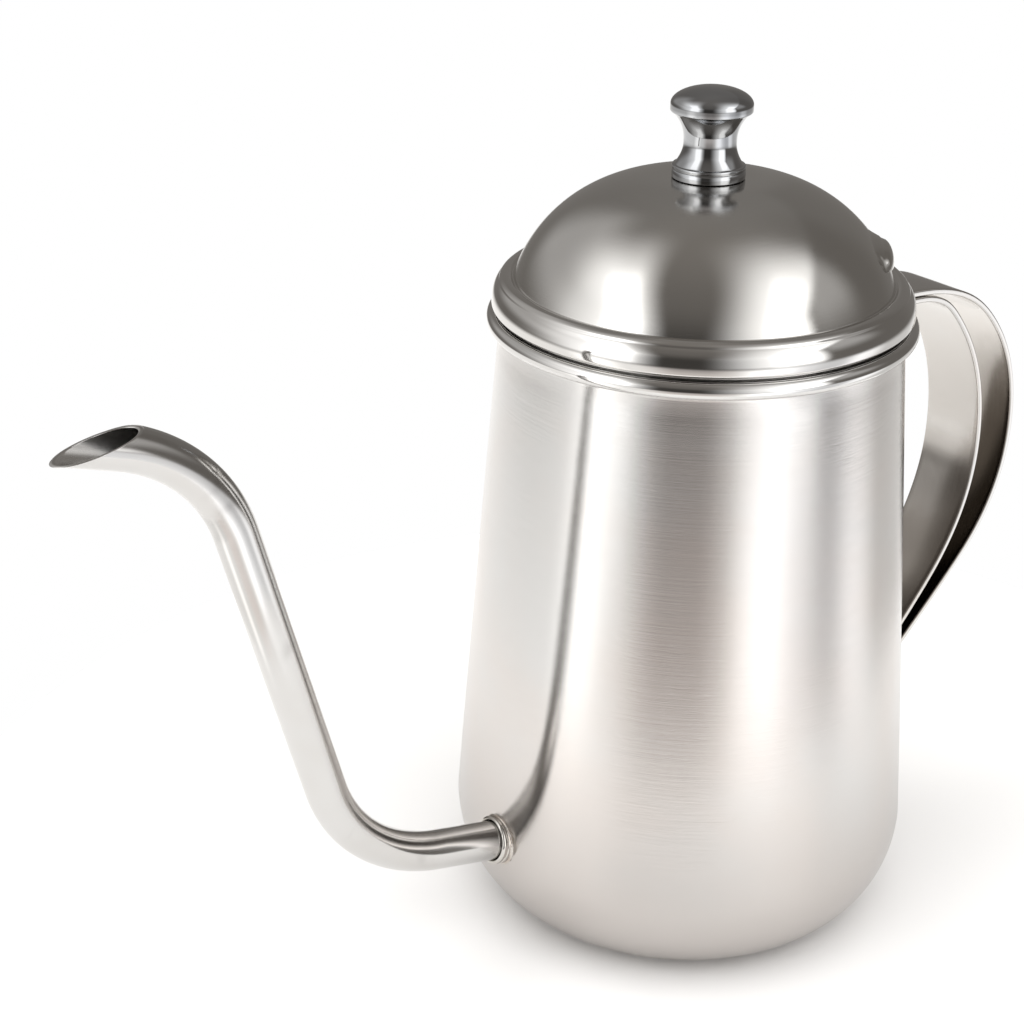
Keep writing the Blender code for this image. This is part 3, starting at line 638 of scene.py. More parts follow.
for i in range(k):
    a = np.arange(ROUND) + i * ROUND
    b = np.arange(ROUND) + ((i + 1) % k) * ROUND
    F.append(np.stack([a, np.roll(a, -1), np.roll(b, -1), b], 1))
    FT.append(np.full(ROUND, 0 if i < len(ring_out) + len(lip) else 1))
tube = new_piece("spout_tube_polished", V, np.concatenate(F), [mat_tube, mat_bore],
                 np.concatenate(FT), sharp=50, flow=np.concatenate(flow))


# ------------------------------------------------- welded roots and collar
def weld_bead(name, corner, away, side, leg, steps=7, ripple=0.0, per=0.9 * MM,
              mat=None):
    """Concave fillet round a root on the wall. corner: points on the wall;
    away: unit vectors out along the part; side: unit vectors off the part."""
    n = len(corner)
    run = np.zeros(n)
    for i in range(1, n):
        run[i] = run[i - 1] + np.linalg.norm(corner[i] - corner[i - 1])
    rings = []
    for i in range(n):
        f = leg * (1 + ripple * math.sin(math.tau * run[i] / per))
        c, d, s = corner[i], away[i], side[i]
        wn = wall_normal(c)
        s = s - wn * float(s @ wn)
        s /= np.linalg.norm(s)
        A, B = c + d * f * 1.15, c + s * f
        r = math.hypot(B[0], B[1])
        want = float(wall_radius(B[2])) + 0.02 * MM
        B = np.array([B[0] * want / r, B[1] * want / r, B[2]])
        pts = []
        for j in range(steps + 1):
            t = j / steps
            mid = c * 0.75 + (A + B) * 0.125
            pts.append(A * (1 - t) ** 2 + 2 * t * (1 - t) * mid + B * t * t)
        pts.append(B - wn * 0.25 * MM)
        pts.append(c - wn * 0.25 * MM - s * 0.1 * MM)
        pts.append(A - s * 0.15 * MM)
        rings.append(np.array(pts))
    m = len(rings[0])
    V = np.concatenate(rings)
    F = []
    for i in range(n):
        a = np.arange(m) + i * m
        b = np.arange(m) + ((i + 1) % n) * m
        F.append(np.stack([a, np.roll(a, -1), np.roll(b, -1), b], 1))
    return new_piece(name, V, np.concatenate(F), [mat or mat_weld], sharp=60)


def along_wall_hit(radius, th, push=0.0):
    """Where a line of the spout's first run, at that radius, meets the wall."""
    e1 = np.array([spout_dir[1], 0.0, spout_dir[0]])
    o = np.array(start3) + radius * (math.cos(th) * e1 + math.sin(th) * np.array([0, 1.0, 0]))
    d = np.array(dir3)
    lo, hi = -4 * MM, 14 * MM
    for _ in range(40):
        m = (lo + hi) / 2
        q = o + d * m
        if math.hypot(q[0], q[1]) < float(wall_radius(q[2])) + push:
            lo = m
        else:
            hi = m
    return o + d * lo, lo


# the collar: two rounded ridges with a groove, scribed to the wall
hit0 = along_wall_hit(0.0, 0.0)[1]
ring_end = hit0 + COLLAR_REACH
CN = 96
cth = np.arange(CN) * math.tau / CN
rr = 0.55 * MM
shape = [(COLLAR_R, -0.35 * MM)]                       # embedded in the wall
front = []
for i in range(9):                                     # groove behind the ridge
    t = i / 8
    front.append((COLLAR_R - 0.28 * MM * math.sin(math.pi * t) ** 2,
                  ring_end - 1.42 * MM + 0.42 * MM * t))
front += arc(COLLAR_R - rr, ring_end - rr, rr, rr, -0.2, math.pi / 2, 12)[1:]
front += [(TUBE_R + 0.45 * MM, ring_end - 0.02 * MM), (TUBE_R + 0.2 * MM, ring_end - 0.16 * MM),
          (TUBE_R + 0.15 * MM, ring_end - 0.4 * MM)]
e1 = np.array([spout_dir[1], 0.0, spout_dir[0]])
e2 = np.array([0.0, 1.0, 0.0])
o3, d3 = np.array(start3), np.array(dir3)
rings = []
wall_s = np.array([along_wall_hit(COLLAR_R, t, 0.0)[1] for t in cth])
wall_i = np.array([along_wall_hit(TUBE_R + 0.15 * MM, t, 0.0)[1] for t in cth])


def collar_ring(radius, s):
    s = np.broadcast_to(s, cth.shape)
    return o3[None] + radius * (np.cos(cth)[:, None] * e1 + np.sin(cth)[:, None] * e2) + \
        s[:, None] * d3[None]


rings.append(collar_ring(COLLAR_R - 0.02 * MM, wall_s - 0.3 * MM))
for w in (0.0, 0.25, 0.5, 0.75):
    s0 = wall_s
    s1 = np.maximum(front[0][1], s0 + 0.02 * MM)
    rings.append(collar_ring(COLLAR_R, s0 + (s1 - s0) * w))
for r_, s_ in front:
    rings.append(collar_ring(r_, np.maximum(s_, wall_s + 0.02 * MM) if r_ > COLLAR_R - rr
                             else np.full(CN, s_)))
rings.append(collar_ring(TUBE_R + 0.15 * MM, wall_i - 0.3 * MM))
V = np.concatenate(rings)
F = []
for i in range(len(rings)):
    a = np.arange(CN) + i * CN
    b = np.arange(CN) + ((i + 1) % len(rings)) * CN
    F.append(np.stack([a, np.roll(a, -1), np.roll(b, -1), b], 1))
collar = new_piece("spout_collar_turned", V, np.concatenate(F), [mat_collar], sharp=50)
corner = collar_ring(COLLAR_R, wall_s)
radial = np.cos(cth)[:, None] * e1 + np.sin(cth)[:, None] * e2
NW = 192
wth = np.arange(NW) * math.tau / NW
wc = [along_wall_hit(COLLAR_R, t, 0.0)[0] for t in wth]
wr = [math.cos(t) * e1 + math.sin(t) * e2 for t in wth]
spout_weld = weld_bead("spout_root_weld", wc, [d3] * NW, wr, 0.36 * MM, ripple=0.10,
                       per=0.8 * MM)


# ------------------------------------------------------------------ handle
def station_path(stations, per=34):
    out = []
    for (x0, z0, d0), (x1, z1, d1) in zip(stations, stations[1:]):
        a0, a1 = math.radians(d0), math.radians(d1)
        chord = math.hypot(x1 - x0, z1 - z0)
        h = chord / 3 / max(0.4, math.cos(abs(a1 - a0) / 2) ** 0.9)
        p0, p3 = np.array([x0, z0]), np.array([x1, z1])
        p1 = p0 + np.array([math.cos(a0), -math.sin(a0)]) * h
        p2 = p3 - np.array([math.cos(a1), -math.sin(a1)]) * h
        for k in range(per):
            t = k / per
            out.append(p0 * (1 - t) ** 3 + p1 * 3 * t * (1 - t) ** 2 +
                       p2 * 3 * t * t * (1 - t) + p3 * t ** 3)
    out.append(np.array(stations[-1][:2], float))
    return np.array(out)


def smooth_path(P, passes):
    """Even spacing, and a light smoothing of the curvature between stations."""
    for _ in range(passes):
        Q = P.copy()
        Q[1:-1] = 0.5 * P[1:-1] + 0.25 * (P[:-2] + P[2:])
        P = Q
    d = np.concatenate([[0], np.cumsum(np.linalg.norm(np.diff(P, axis=0), axis=1))])
    m = int(d[-1] / (0.7 * MM))
    s = np.linspace(0, d[-1], m)
    return np.stack([np.interp(s, d, P[:, 0]), np.interp(s, d, P[:, 1])], 1), s


def strap(name, stations, mat, outside, inside_face):
    """Flat strap with rounded long edges; every line of it ends on the wall."""
    P, s = smooth_path(station_path(stations), 30)
    T = np.gradient(P, axis=0)
    T /= np.linalg.norm(T, axis=1)[:, None]
    N = np.stack([-T[:, 1], T[:, 0]], 1)               # outside of the loop
    w, t, e = STRAP_W / 2, STRAP_T, 0.34 * MM
    loop = []                                          # (across, depth below the outside)
    for cx, cz, a0 in ((w - e, e, 0), (w - e, t - e, 90), (-w + e, t - e, 180),
                       (-w + e, e, 270)):
        for i in range(7):
            a = math.radians(a0 - 90 + 15 * i)
            loop.append((cx + e * math.cos(a), cz + e * math.sin(a)))
    # more points across the two broad faces, with a very slight crown
    full = []
    for i, (a, b) in enumerate(zip(loop, loop[1:] + loop[:1])):
        full.append(a)
        if abs(a[0] - b[0]) > 4 * MM:
            for j in range(1, 14):
                u = j / 14
                x = a[0] + (b[0] - a[0]) * u
                crown = 0.03 * MM * math.sin(math.pi * u) * (1 if a[1] > t / 2 else -1)
                full.append((x, a[1] + (b[1] - a[1]) * u + crown))
    L = np.array(full)
    # each lengthwise line, clipped to the wall at both ends
    lines, ends = [], []
    for across, depth in L:
        Q = P - N * depth
        X = np.stack([Q[:, 0], np.full(len(Q), across), Q[:, 1]], 1)
        inside = np.hypot(X[:, 0], X[:, 1]) - wall_radius(X[:, 2]) + 0.2 * MM
        i0 = np.where(inside[:len(s) // 3] < 0)[0][-1]
        j = len(s) * 2 // 3
        i1 = j + np.where(inside[j:] < 0)[0][0]
        s0 = s[i0] + (s[i0 + 1] - s[i0]) * (-inside[i0]) / (inside[i0 + 1] - inside[i0])
        s1 = s[i1 - 1] + (s[i1] - s[i1 - 1]) * inside[i1 - 1] / (inside[i1 - 1] - inside[i1])
        lines.append(X)
        ends.append((s0, s1))
    ends = np.array(ends)
    rows = 210
    W = np.linspace(0, 1, rows)
    m = len(L)
    G = np.empty((rows, m, 3))
    FL = np.empty((rows, m, 3))
    for k in range(m):
        q = ends[k, 0] + (ends[k, 1] - ends[k, 0]) * W
        for c in range(3):
            G[:, k, c] = np.interp(q, s, lines[k][:, c])
        FL[:, k] = np.stack([q, np.full(rows, L[k, 0]), np.full(rows, L[k, 1])], 1)
    V = list(G.reshape(-1, 3))
    FLv = list(FL.reshape(-1, 3))
    F = []
    for i in range(rows - 1):
        a = np.arange(m) + i * m
        b = a + m
        F.append(np.stack([a, np.roll(a, -1), np.roll(b, -1), b], 1))
    for row, flip in ((0, 1), (rows - 1, -1)):         # end faces, hidden in the wall
        ring = np.arange(m) + row * m
        cidx = len(V)
        V.append(G[row].mean(0))
        FLv.append(FL[row].mean(0))
        a, b = (ring, np.roll(ring, -1)) if flip < 0 else (np.roll(ring, -1), ring)
        F.append(np.stack([a, b, np.full(m, cidx), -np.ones(m, int)], 1))
    # kind 1 marks the outside face and 2 the inside face; these take the materials passed in, painted shade
    # where they look into the gap
    deep = np.array([c[1] for c in full])
    both = np.stack([deep, np.roll(deep, -1)])
    kind = np.where(both.max(0) < t * 0.2, 1, np.where(both.min(0) > t * 0.8, 2, 0))
    tags = np.concatenate([np.tile(kind, rows - 1), np.zeros(2 * m, int)])
    ob = new_piece(name, V, np.concatenate(F), [mat, outside, inside_face], tags,
                   sharp=50, flow=FLv)
    return ob, G, L, P, N, T


# the faces towards the gap between the straps and the inner strap's inner face take the painted-shade
# materials
outer_strap, GO, LO, PO, NO, TO = strap("handle_outer_band", OUTER_STATIONS, mat_strap_outer,
                                        mat_strap_outer, mat_strap_gap_painted_shade)
inner_strap, GI, LI, PI_, NI, TI = strap("handle_inner_band", INNER_STATIONS, mat_strap_inner,
                                         mat_strap_gap_painted_shade, mat_strap_palm_painted_shade)


def strap_weld(name, G, row, step, leg):
    """Fillet round one root of a strap, from the strap's own end ring."""
    ring, nxt = G[row], G[row + step]
    m = len(ring)
    # evenly spaced points round the root
    closed = np.concatenate([ring, ring[:1]])
    d = np.concatenate([[0], np.cumsum(np.linalg.norm(np.diff(closed, axis=0), axis=1))])
    cn = np.concatenate([nxt, nxt[:1]])
    cnt = 150
    q = np.linspace(0, d[-1], cnt, endpoint=False)
    R = np.stack([np.interp(q, d, closed[:, c]) for c in range(3)], 1)
    S = np.stack([np.interp(q, d, cn[:, c]) for c in range(3)], 1)
    mid = R.mean(0)
    corner, away, side = [], [], []
    for i in range(cnt):
        a = (S[i] - R[i]) / np.linalg.norm(S[i] - R[i])
        t = R[(i + 1) % cnt] - R[i - 1]
        t /= np.linalg.norm(t)
        nrm = np.cross(t, a)
        if nrm @ (R[i] - mid) < 0:
            nrm = -nrm
        nrm /= np.linalg.norm(nrm)
        c = R[i]
        rad = math.hypot(c[0], c[1])
        want = float(wall_radius(c[2]))
        c = c + a * max(0.0, (want - rad)) / max(0.3, abs(float(a @ wall_normal(c))))
        corner.append(c)
        away.append(a)
        side.append(nrm)
    return weld_bead(name, corner, away, side, leg, ripple=0.08, per=1.1 * MM)


weld_pieces = [
    strap_weld("handle_outer_low_weld", GO, -1, -1, 0.42 * MM),
    strap_weld("handle_inner_low_weld", GI, -1, -1, 0.42 * MM),
    strap_weld("handle_outer_top_weld", GO, 0, 1, 0.22 * MM),
    strap_weld("handle_inner_top_weld", GI, 0, 1, 0.22 * MM),
]


# --------------------------------------------------------------------- lid
def dome_z(r):
    r = np.asarray(r, float)
    base = DOME_Z + DOME_B * np.maximum(0.0, 1 - (r / DOME_A) ** DOME_E) ** (1 / DOME_E)
    return base - SEAT_DROP * np.exp(-(r / SEAT_R) ** 2)


def dome_r(z):
    lo, hi = 20 * MM, CREASE_R
    for _ in range(60):
        m = (lo + hi) / 2
        if float(dome_z(m)) > z:
            lo = m
        else:
            hi = m
    return lo


BORE_R = SCREW_R + 0.35 * MM
slit_r = dome_r(HOOD_Z)
hood_top_r = dome_r(HOOD_Z + HOOD_H * 1.15)
hood_r = dome_r(HOOD_Z + HOOD_H * 0.35)
radii = list(BORE_R + (hood_top_r - BORE_R) * (1 - (1 - np.linspace(0, 1, 56)) ** 1.35))
radii += list(hood_top_r + (slit_r - hood_top_r) * np.linspace(0, 1, 20)[1:])
slit_row = len(radii) - 1
radii += list(slit_r + (CREASE_R - 0.05 * MM - slit_r) *
              (1 - (1 - np.linspace(0, 1, 16)[1:]) ** 1.5))
crease_row = len(radii) - 1
crease_z = float(dome_z(CREASE_R))
path = [(r, float(dome_z(r))) for r in radii]
# pressed crease, then the brim rolls out and down to its straight lip
brim_top = crease_z + 0.1 * MM
path += [(CREASE_R + 0.06 * MM, crease_z - 0.16 * MM),
         (CREASE_R + 0.20 * MM, crease_z - 0.20 * MM),
         (CREASE_R + 0.38 * MM, crease_z - 0.10 * MM)]
bx, bz = CREASE_R + 0.7 * MM, BRIM_Z_LOW + BRIM_LIP
# ... with a fine pressed step part way down the roll
for r, z in arc(bx, bz, BRIM_R - bx, brim_top - bz, math.pi / 2, 0.0, 60):
    up = min(max((BRIM_STEP_R - r) / (0.07 * MM), -1.0), 1.0)
    path.append((r, z + 0.11 * MM * (0.5 * up * (3 - up * up)) *
                 (1 - min(max((r - BRIM_STEP_R) / (1.2 * MM), 0.0), 1.0)) *
                 min(max((r - bx) / (1.2 * MM), 0.0), 1.0)))
# ... and a small rolled edge at the lip
path += arc(BRIM_R - 0.62 * MM, BRIM_Z_LOW + 0.75 * MM, 0.62 * MM, 0.75 * MM, -0.08,
            -math.pi / 2 + 0.12, 9)
path += [(BRIM_R - 0.64 * MM, BRIM_Z_LOW)]
n_out = len(path)
inside_path = offset(path, -LID_T)
inside_path[0] = (BORE_R, inside_path[0][1])
for i in range(-5, 0):
    inside_path[i] = (BRIM_R - LID_T, max(path[i][1], BRIM_Z_LOW + 0.05 * MM))
inside_path[-1] = (BRIM_R - LID_T + 0.08 * MM, BRIM_Z_LOW)
# tiny folds of the inner offset at the crease are evened out
ip = np.array(inside_path)
c0, c1 = crease_row - 2, crease_row + 8
ip[c0:c1, 0] = np.linspace(ip[c0, 0], ip[c1, 0], c1 - c0)
ip[c0:c1, 1] = np.linspace(ip[c0, 1], ip[c1, 1], c1 - c0)
op = np.array(path)

half = math.degrees(HOOD_W / slit_r) + 1.6
dense = np.arange(-half, half + 1e-6, 0.42)
rest_n = int((360 - 2 * half) / (1.3))
sparse = np.linspace(half, 360 - half, rest_n + 1)[1:-1]
cols = np.radians(np.concatenate([dense, sparse])) + HOOD_AZ
m = len(cols)
hood_dir = np.array([math.cos(HOOD_AZ), math.sin(HOOD_AZ)])
hood_side = np.array([-hood_dir[1], hood_dir[0]])


def hood_lift(X, thick):
    """Pushes points of the dome out on to the hood's rounded form."""
    xl = X[:, :2] @ hood_dir
    u = X[:, :2] @ hood_side
    v = np.maximum(X[:, 2] - HOOD_Z, 0.0)
    q = 1 - (u / (HOOD_W - 0.1 * MM)) ** 2 - (v / HOOD_H) ** 2
    form = hood_r - thick + (HOOD_OUT) * np.sign(q) * np.abs(q) ** 0.6
    k = 0.5 * MM
    h = np.clip(0.5 + 0.5 * (form - xl) / k, 0, 1)
    new = xl * (1 - h) + form * h + k * h * (1 - h)
    fade = np.clip((HOOD_W + 0.3 * MM - np.abs(u)) / (1.2 * MM), 0, 1)
    fade = fade * np.clip((q + 0.9) / 0.6, 0, 1) * (xl > hood_r * 0.5)
    push = np.maximum(new - xl, 0.0) * fade
    return X + push[:, None] * np.array([hood_dir[0], hood_dir[1], 0.0])[None]


V, outer_rows, inner_rows = [], [], []
ca, sa = np.cos(cols), np.sin(cols)
du = ((cols - HOOD_AZ + math.pi) % math.tau) - math.pi


def put_rows(prof, thick):
    """Vertex rows of one face of the lid; the slit row also gets a lower copy."""
    global V
    rows, low_row = [], None
    for i, (r, z) in enumerate(prof):
        X = np.stack([r * ca, r * sa, np.full(m, z)], 1)
        base_i = len(V)
        if i <= slit_row:
            Y = hood_lift(X, thick)
            if i == slit_row:
                moved = np.linalg.norm(Y - X, axis=1) > 0.02 * MM
                V.extend(Y)
                idx = np.arange(base_i, base_i + m)
                low_row = idx.copy()
                for j in np.where(moved)[0]:
                    low_row[j] = len(V)
                    V.append(X[j])
                rows.append(idx)
                continue
            V.extend(Y)
        else:
            V.extend(X)
        rows.append(np.arange(base_i, base_i + m))
    return rows, low_row


rows_o, low_o = put_rows(op, 0.0)
rows_i, low_i = put_rows(ip, LID_T)
F, FM = [], []


def strip(a, b, tag):
    F.append(np.stack([a, np.roll(a, -1), np.roll(b, -1), b], 1))
    FM.append(np.full(len(a), tag))


for i in range(n_out - 1):
    a = low_o if i == slit_row else rows_o[i]
    strip(a, rows_o[i + 1], 0 if i < crease_row else 1)
    a = low_i if i == slit_row else rows_i[i]
    strip(rows_i[i + 1], a, 2)
strip(rows_i[0], rows_o[0], 2)
strip(rows_o[-1], rows_i[-1], 1)
# the cut edges of the slit: under the hood, and along the dome below it
for up_o, up_i, turn in ((rows_o[slit_row], rows_i[slit_row], False),
                         (low_o, low_i, True)):
    for j in range(m):
        k = (j + 1) % m
        open_edge = rows_o[slit_row][j] != low_o[j] or rows_o[slit_row][k] != low_o[k]
        if not open_edge:
            continue
        quad = [up_o[j], up_o[k], up_i[k], up_i[j]]
        if turn:
            quad = quad[::-1]
        F.append(np.array([quad]))
        FM.append(np.array([2]))
dome = new_piece("lid_dome_pressed", np.array(V), np.concatenate(F),
                 [mat_dome, mat_brim, mat_inner], np.concatenate(FM), sharp=38)

# skirt with the flange that sits on the bead
flange_z = RIM_Z + GAP
sk = [(FLANGE_R - 0.12 * MM, flange_z), (FLANGE_R, flange_z + 0.12 * MM),
      (FLANGE_R, flange_z + SKIRT_T - 0.12 * MM), (FLANGE_R - 0.12 * MM, flange_z + SKIRT_T)]
sk += [(r * MM, flange_z + SKIRT_T) for r in (39.4, 38.8, 38.3)]
sk += arc(SKIRT_R - SKIRT_T + 0.5 * MM, flange_z + SKIRT_T - 0.5 * MM, 0.5 * MM, 0.5 * MM,
          math.pi / 2, math.pi, 6)
sk += [(SKIRT_R - SKIRT_T, SKIRT_Z + (10.2 - 0.9 * i) * MM) for i in range(10)]
sk += [(SKIRT_R - SKIRT_T - 0.06 * MM, SKIRT_Z + 0.9 * MM),
       (SKIRT_R - SKIRT_T - 0.3 * MM, SKIRT_Z + 0.45 * MM),
       (SKIRT_R - SKIRT_T - 0.72 * MM, SKIRT_Z + 0.08 * MM),
       (SKIRT_R - SKIRT_T - 0.6 * MM, SKIRT_Z), (SKIRT_R - 0.75 * MM, SKIRT_Z),
       (SKIRT_R - 0.3 * MM, SKIRT_Z + 0.3 * MM), (SKIRT_R - 0.06 * MM, SKIRT_Z + 0.8 * MM)]
sk += [(SKIRT_R, SKIRT_Z + (1.4 + 0.9 * i) * MM) for i in range(10)]
sk += [(SKIRT_R, flange_z - 0.25 * MM), (SKIRT_R + 0.1 * MM, flange_z - 0.05 * MM),
       (SKIRT_R + 0.3 * MM, flange_z)]
skirt = turned("lid_skirt_turned", sk, [mat_skirt], STEPS, sharp=45)

# knob, turned: base ring with a groove, flared neck, shouldered cap
screw_crown = float(inside_path[0][1])
screw_top = screw_crown - GAP + SCREW_LEN
kb = [(0.0, screw_top + GAP), (SCREW_R + 0.25 * MM, screw_top + GAP),
      (SCREW_R + 0.25 * MM, KNOB_SEAT + 0.2 * MM), (SCREW_R + 0.45 * MM, KNOB_SEAT)]
kb += [(r * MM, KNOB_SEAT) for r in (3.4, 4.8, 6.0)]
kb += arc(KNOB_RING_R - 0.22 * MM, KNOB_SEAT + 0.22 * MM, 0.22 * MM, 0.22 * MM,
          -math.pi / 2, 0.0, 6)
zt = KNOB_Z + KNOB_RING_H
kb += [(KNOB_RING_R, KNOB_Z + 0.5 * MM), (KNOB_RING_R, zt - 1.12 * MM)]
kb += [(KNOB_RING_R - 0.10 * MM, zt - 1.0 * MM), (KNOB_RING_R - 0.16 * MM, zt - 0.92 * MM),
       (KNOB_RING_R - 0.10 * MM, zt - 0.84 * MM), (KNOB_RING_R - 0.02 * MM, zt - 0.74 * MM)]
kb += arc(KNOB_RING_R - 0.3 * MM, zt - 0.3 * MM, 0.3 * MM, 0.3 * MM, -0.1, math.pi / 2, 8)
kb += [(KNOB_FLARE_R + 0.06 * MM, zt + 0.02 * MM)]
nk = 30
for i in range(nk + 1):
    s = i / nk
    kb.append((KNOB_NECK_R + (KNOB_FLARE_R - KNOB_NECK_R) * (1 - s) ** 2,
               zt + 0.06 * MM + (KNOB_NECK_Z - zt - 0.06 * MM) * s))
cap_edge = KNOB_CAP_R - 0.42 * MM
for i in range(1, nk + 1):
    s = i / nk
    kb.append((KNOB_NECK_R + (cap_edge - KNOB_NECK_R) * s ** 2.4,
               KNOB_NECK_Z + (KNOB_CAP_Z - 0.05 * MM - KNOB_NECK_Z) * s))
kb += arc(KNOB_CAP_R - 0.28 * MM, KNOB_CAP_Z + 0.3 * MM, 0.28 * MM, 0.3 * MM,
          -1.15, 0.0, 7)
cap_z = KNOB_CAP_Z + 0.3 * MM + KNOB_CAP_BAND
kb += [(KNOB_CAP_R, KNOB_CAP_Z + 0.8 * MM), (KNOB_CAP_R, cap_z - 0.3 * MM)]
kb += arc(0.0, cap_z - 0.1 * MM, KNOB_CAP_R, KNOB_TOP_Z - cap_z + 0.1 * MM, 0.0,
          math.pi / 2, 26)
kb[-1] = (0.0, KNOB_TOP_Z)
knob = turned("lid_knob_chrome", kb, [mat_knob], FINE, closed=False, sharp=42)

washer_top = screw_crown - GAP
wa = [(SCREW_R + 0.2 * MM, washer_top - WASHER_T), (SCREW_R + 0.35 * MM, washer_top - WASHER_T - 0.0),
      (WASHER_R - 0.2 * MM, washer_top - WASHER_T), (WASHER_R - 0.05 * MM, washer_top - WASHER_T + 0.06 * MM),
      (WASHER_R, washer_top - WASHER_T + 0.2 * MM), (WASHER_R, washer_top - 0.12 * MM),
      (WASHER_R - 0.12 * MM, washer_top), (SCREW_R + 0.3 * MM, washer_top),
      (SCREW_R + 0.2 * MM, washer_top - 0.1 * MM)]
washer = turned("lid_knob_washer", wa, [mat_washer], FINE, sharp=45)
head_top = washer_top - WASHER_T - GAP
sc = [(0.0, head_top - SCREW_HEAD_H)]
sc += [(r * MM, head_top - SCREW_HEAD_H + 0.0 * MM) for r in (0.5,)]
sc += arc(0.0, head_top - SCREW_HEAD_H * 0.45, SCREW_HEAD_R, SCREW_HEAD_H * 0.55,
          -math.pi / 2 + 0.3, 0.0, 16)
sc += [(SCREW_HEAD_R, head_top - 0.15 * MM), (SCREW_HEAD_R - 0.12 * MM, head_top),
       (SCREW_R + 0.1 * MM, head_top)]
# rolled thread on the shank
zz = head_top + 0.3 * MM
while zz < screw_top - 1.0 * MM:
    sc += [(SCREW_R - 0.28 * MM, zz), (SCREW_R, zz + 0.2 * MM), (SCREW_R - 0.28 * MM, zz + 0.4 * MM)]
    zz += 0.55 * MM
sc += [(SCREW_R - 0.3 * MM, screw_top - 0.5 * MM), (SCREW_R - 0.6 * MM, screw_top), (0.0, screw_top)]
screw = turned("lid_knob_screw", sc, [mat_screw], 96, closed=False, sharp=30)


def slot_form():
    a, b, c = 0.45 * MM, 4.2 * MM, 0.7 * MM
    zc = head_top - SCREW_HEAD_H
    v = [(x, y, zc + z) for x in (-a, a) for y in (-b, b) for z in (-c, c)]
    f = [(0, 1, 3, 2), (4, 6, 7, 5), (0, 4, 5, 1), (2, 3, 7, 6), (0, 2, 6, 4), (1, 5, 7, 3)]
    return new_piece("screw_slot_form", v, f, [mat_screw])


slot = slot_form()
cut = screw.modifiers.new("slot", 'BOOLEAN')
cut.operation, cut.solver, cut.object = 'DIFFERENCE', 'EXACT', slot
bpy.context.view_layer.update()
cut_mesh = bpy.data.meshes.new_from_object(
    screw.evaluated_get(bpy.context.evaluated_depsgraph_get()))
screw.modifiers.clear()
screw.data = cut_mesh
bpy.data.objects.remove(slot, do_unlink=True)

# ------------------------------------------------------------ pieces on their bodies, CAD nodes hidden
for piece, body, node, slot_name in (
        (shell, "vessel", "body_shell", "steel_satin"),
        (pan, "vessel", "base_pan", "steel_base"),
        (tube, "vessel", "spout_tube", "steel_tube"),
        (collar, "vessel", "spout_collar", "steel_collar"),
        (outer_strap, "vessel", "handle_outer_strap", "steel_strap_outer"),
        (inner_strap, "vessel", "handle_inner_strap", "steel_strap_inner"),
        (dome, "lid", "lid_dome", "steel_lid"),
        (skirt, "lid", "lid_skirt", "steel_skirt"),
        (knob, "lid", "knob", "steel_knob"),
        (screw, "lid", "knob_screw", "steel_screw"),
        (washer, "lid", "screw_washer", "steel_washer")):
    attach(piece, body)
    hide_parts(node)
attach(spout_weld, "vessel")
for piece, slot_name in zip(weld_pieces, ("steel_strap_outer", "steel_strap_inner") * 2):
    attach(piece, "vessel")

# ================================================================== studio
# floor: a plain pale sheet
fm = bpy.data.materials.new("floor_pale")
fm.use_nodes = True
n = Nodes(fm.node_tree)
out = n.add("ShaderNodeOutputMaterial")
b = n.add("ShaderNodeBsdfPrincipled")
n.t.links.new(b.outputs[0], out.inputs[0])
tc = n.add("ShaderNodeTexCoord")
n.put(b.inputs["Base Color"], n.mix(n.noise(tc.outputs["Object"], 3.0, 2.0, 0.5),
                                    (0.90, 0.895, 0.885), (0.91, 0.905, 0.90)))
b.inputs["Roughness"].default_value = 0.9
b.inputs["Specular IOR Level"].default_value = 0.1
FLOOR_R = 0.17
FLOOR_AT = (0.0, 0.0)
ang = np.arange(128) * math.tau / 128
fv = [(0.0, 0.0, 0.0)] + list(zip(FLOOR_R * np.cos(ang), FLOOR_R * np.sin(ang), np.zeros(128)))
me = bpy.data.meshes.new("studio_floor")
me.from_pydata(fv, [], [(0, 1 + i, 1 + (i + 1) % 128) for i in range(128)])
me.materials.append(fm)
floor = bpy.data.objects.new("studio_floor", me)
scene.collection.objects.link(floor)
floor.location = (*FLOOR_AT, -0.05 * MM)

# broad soft light for the floor
lamp = bpy.data.lights.new("overhead_soft", 'AREA')
lamp.shape = 'DISK'
lamp.size = 3.4
lamp.energy = 47.0
lo_ = bpy.data.objects.new("overhead_soft", lamp)
lo_.location = (0.0, 0.0, 1.7)
scene.collection.objects.link(lo_)
lo_.visible_glossy = False
lo_.visible_camera = False

# studio surroundings: dim warm room, softboxes and pale boards
# (azimuth, half width, soft edge low side, soft edge high side,
#  elevation, half height, soft edge, strength), angles in degrees
BOARDS = (
    (118.0, 34.0, 12.0, 12.0, 30.0, 22.0, 10.0, 0.30),  # pale wall on the far left
    (-42.0, 18.0, 10.0, 10.0, 34.0, 18.0, 12.0, 0.33),  # pale wall on the far right
    (-32.0, 11.0, 8.0, 8.0, -24.0, 12.0, 3.0, 0.42),    # pale sheet low on the right
)
# two long strip lights that lean over the object on great circles:
# (azimuth of the highest point, tilt from the horizon, azimuth of the near end,
#  hard edge, soft edge start and end, hard side, fade along, strength, core)
STRIPS = (
    (-10.0, 60.0, -100.0, -0.30, -0.22, 0.05, 0.62, 0.70, 1.45, 0.8, (-0.20, 0.10)),
    (104.5, 60.0, 194.5, 0.44, 0.13, -0.05, -0.65, 0.80, 1.45, 0.7, (-0.12, 0.22)),
)
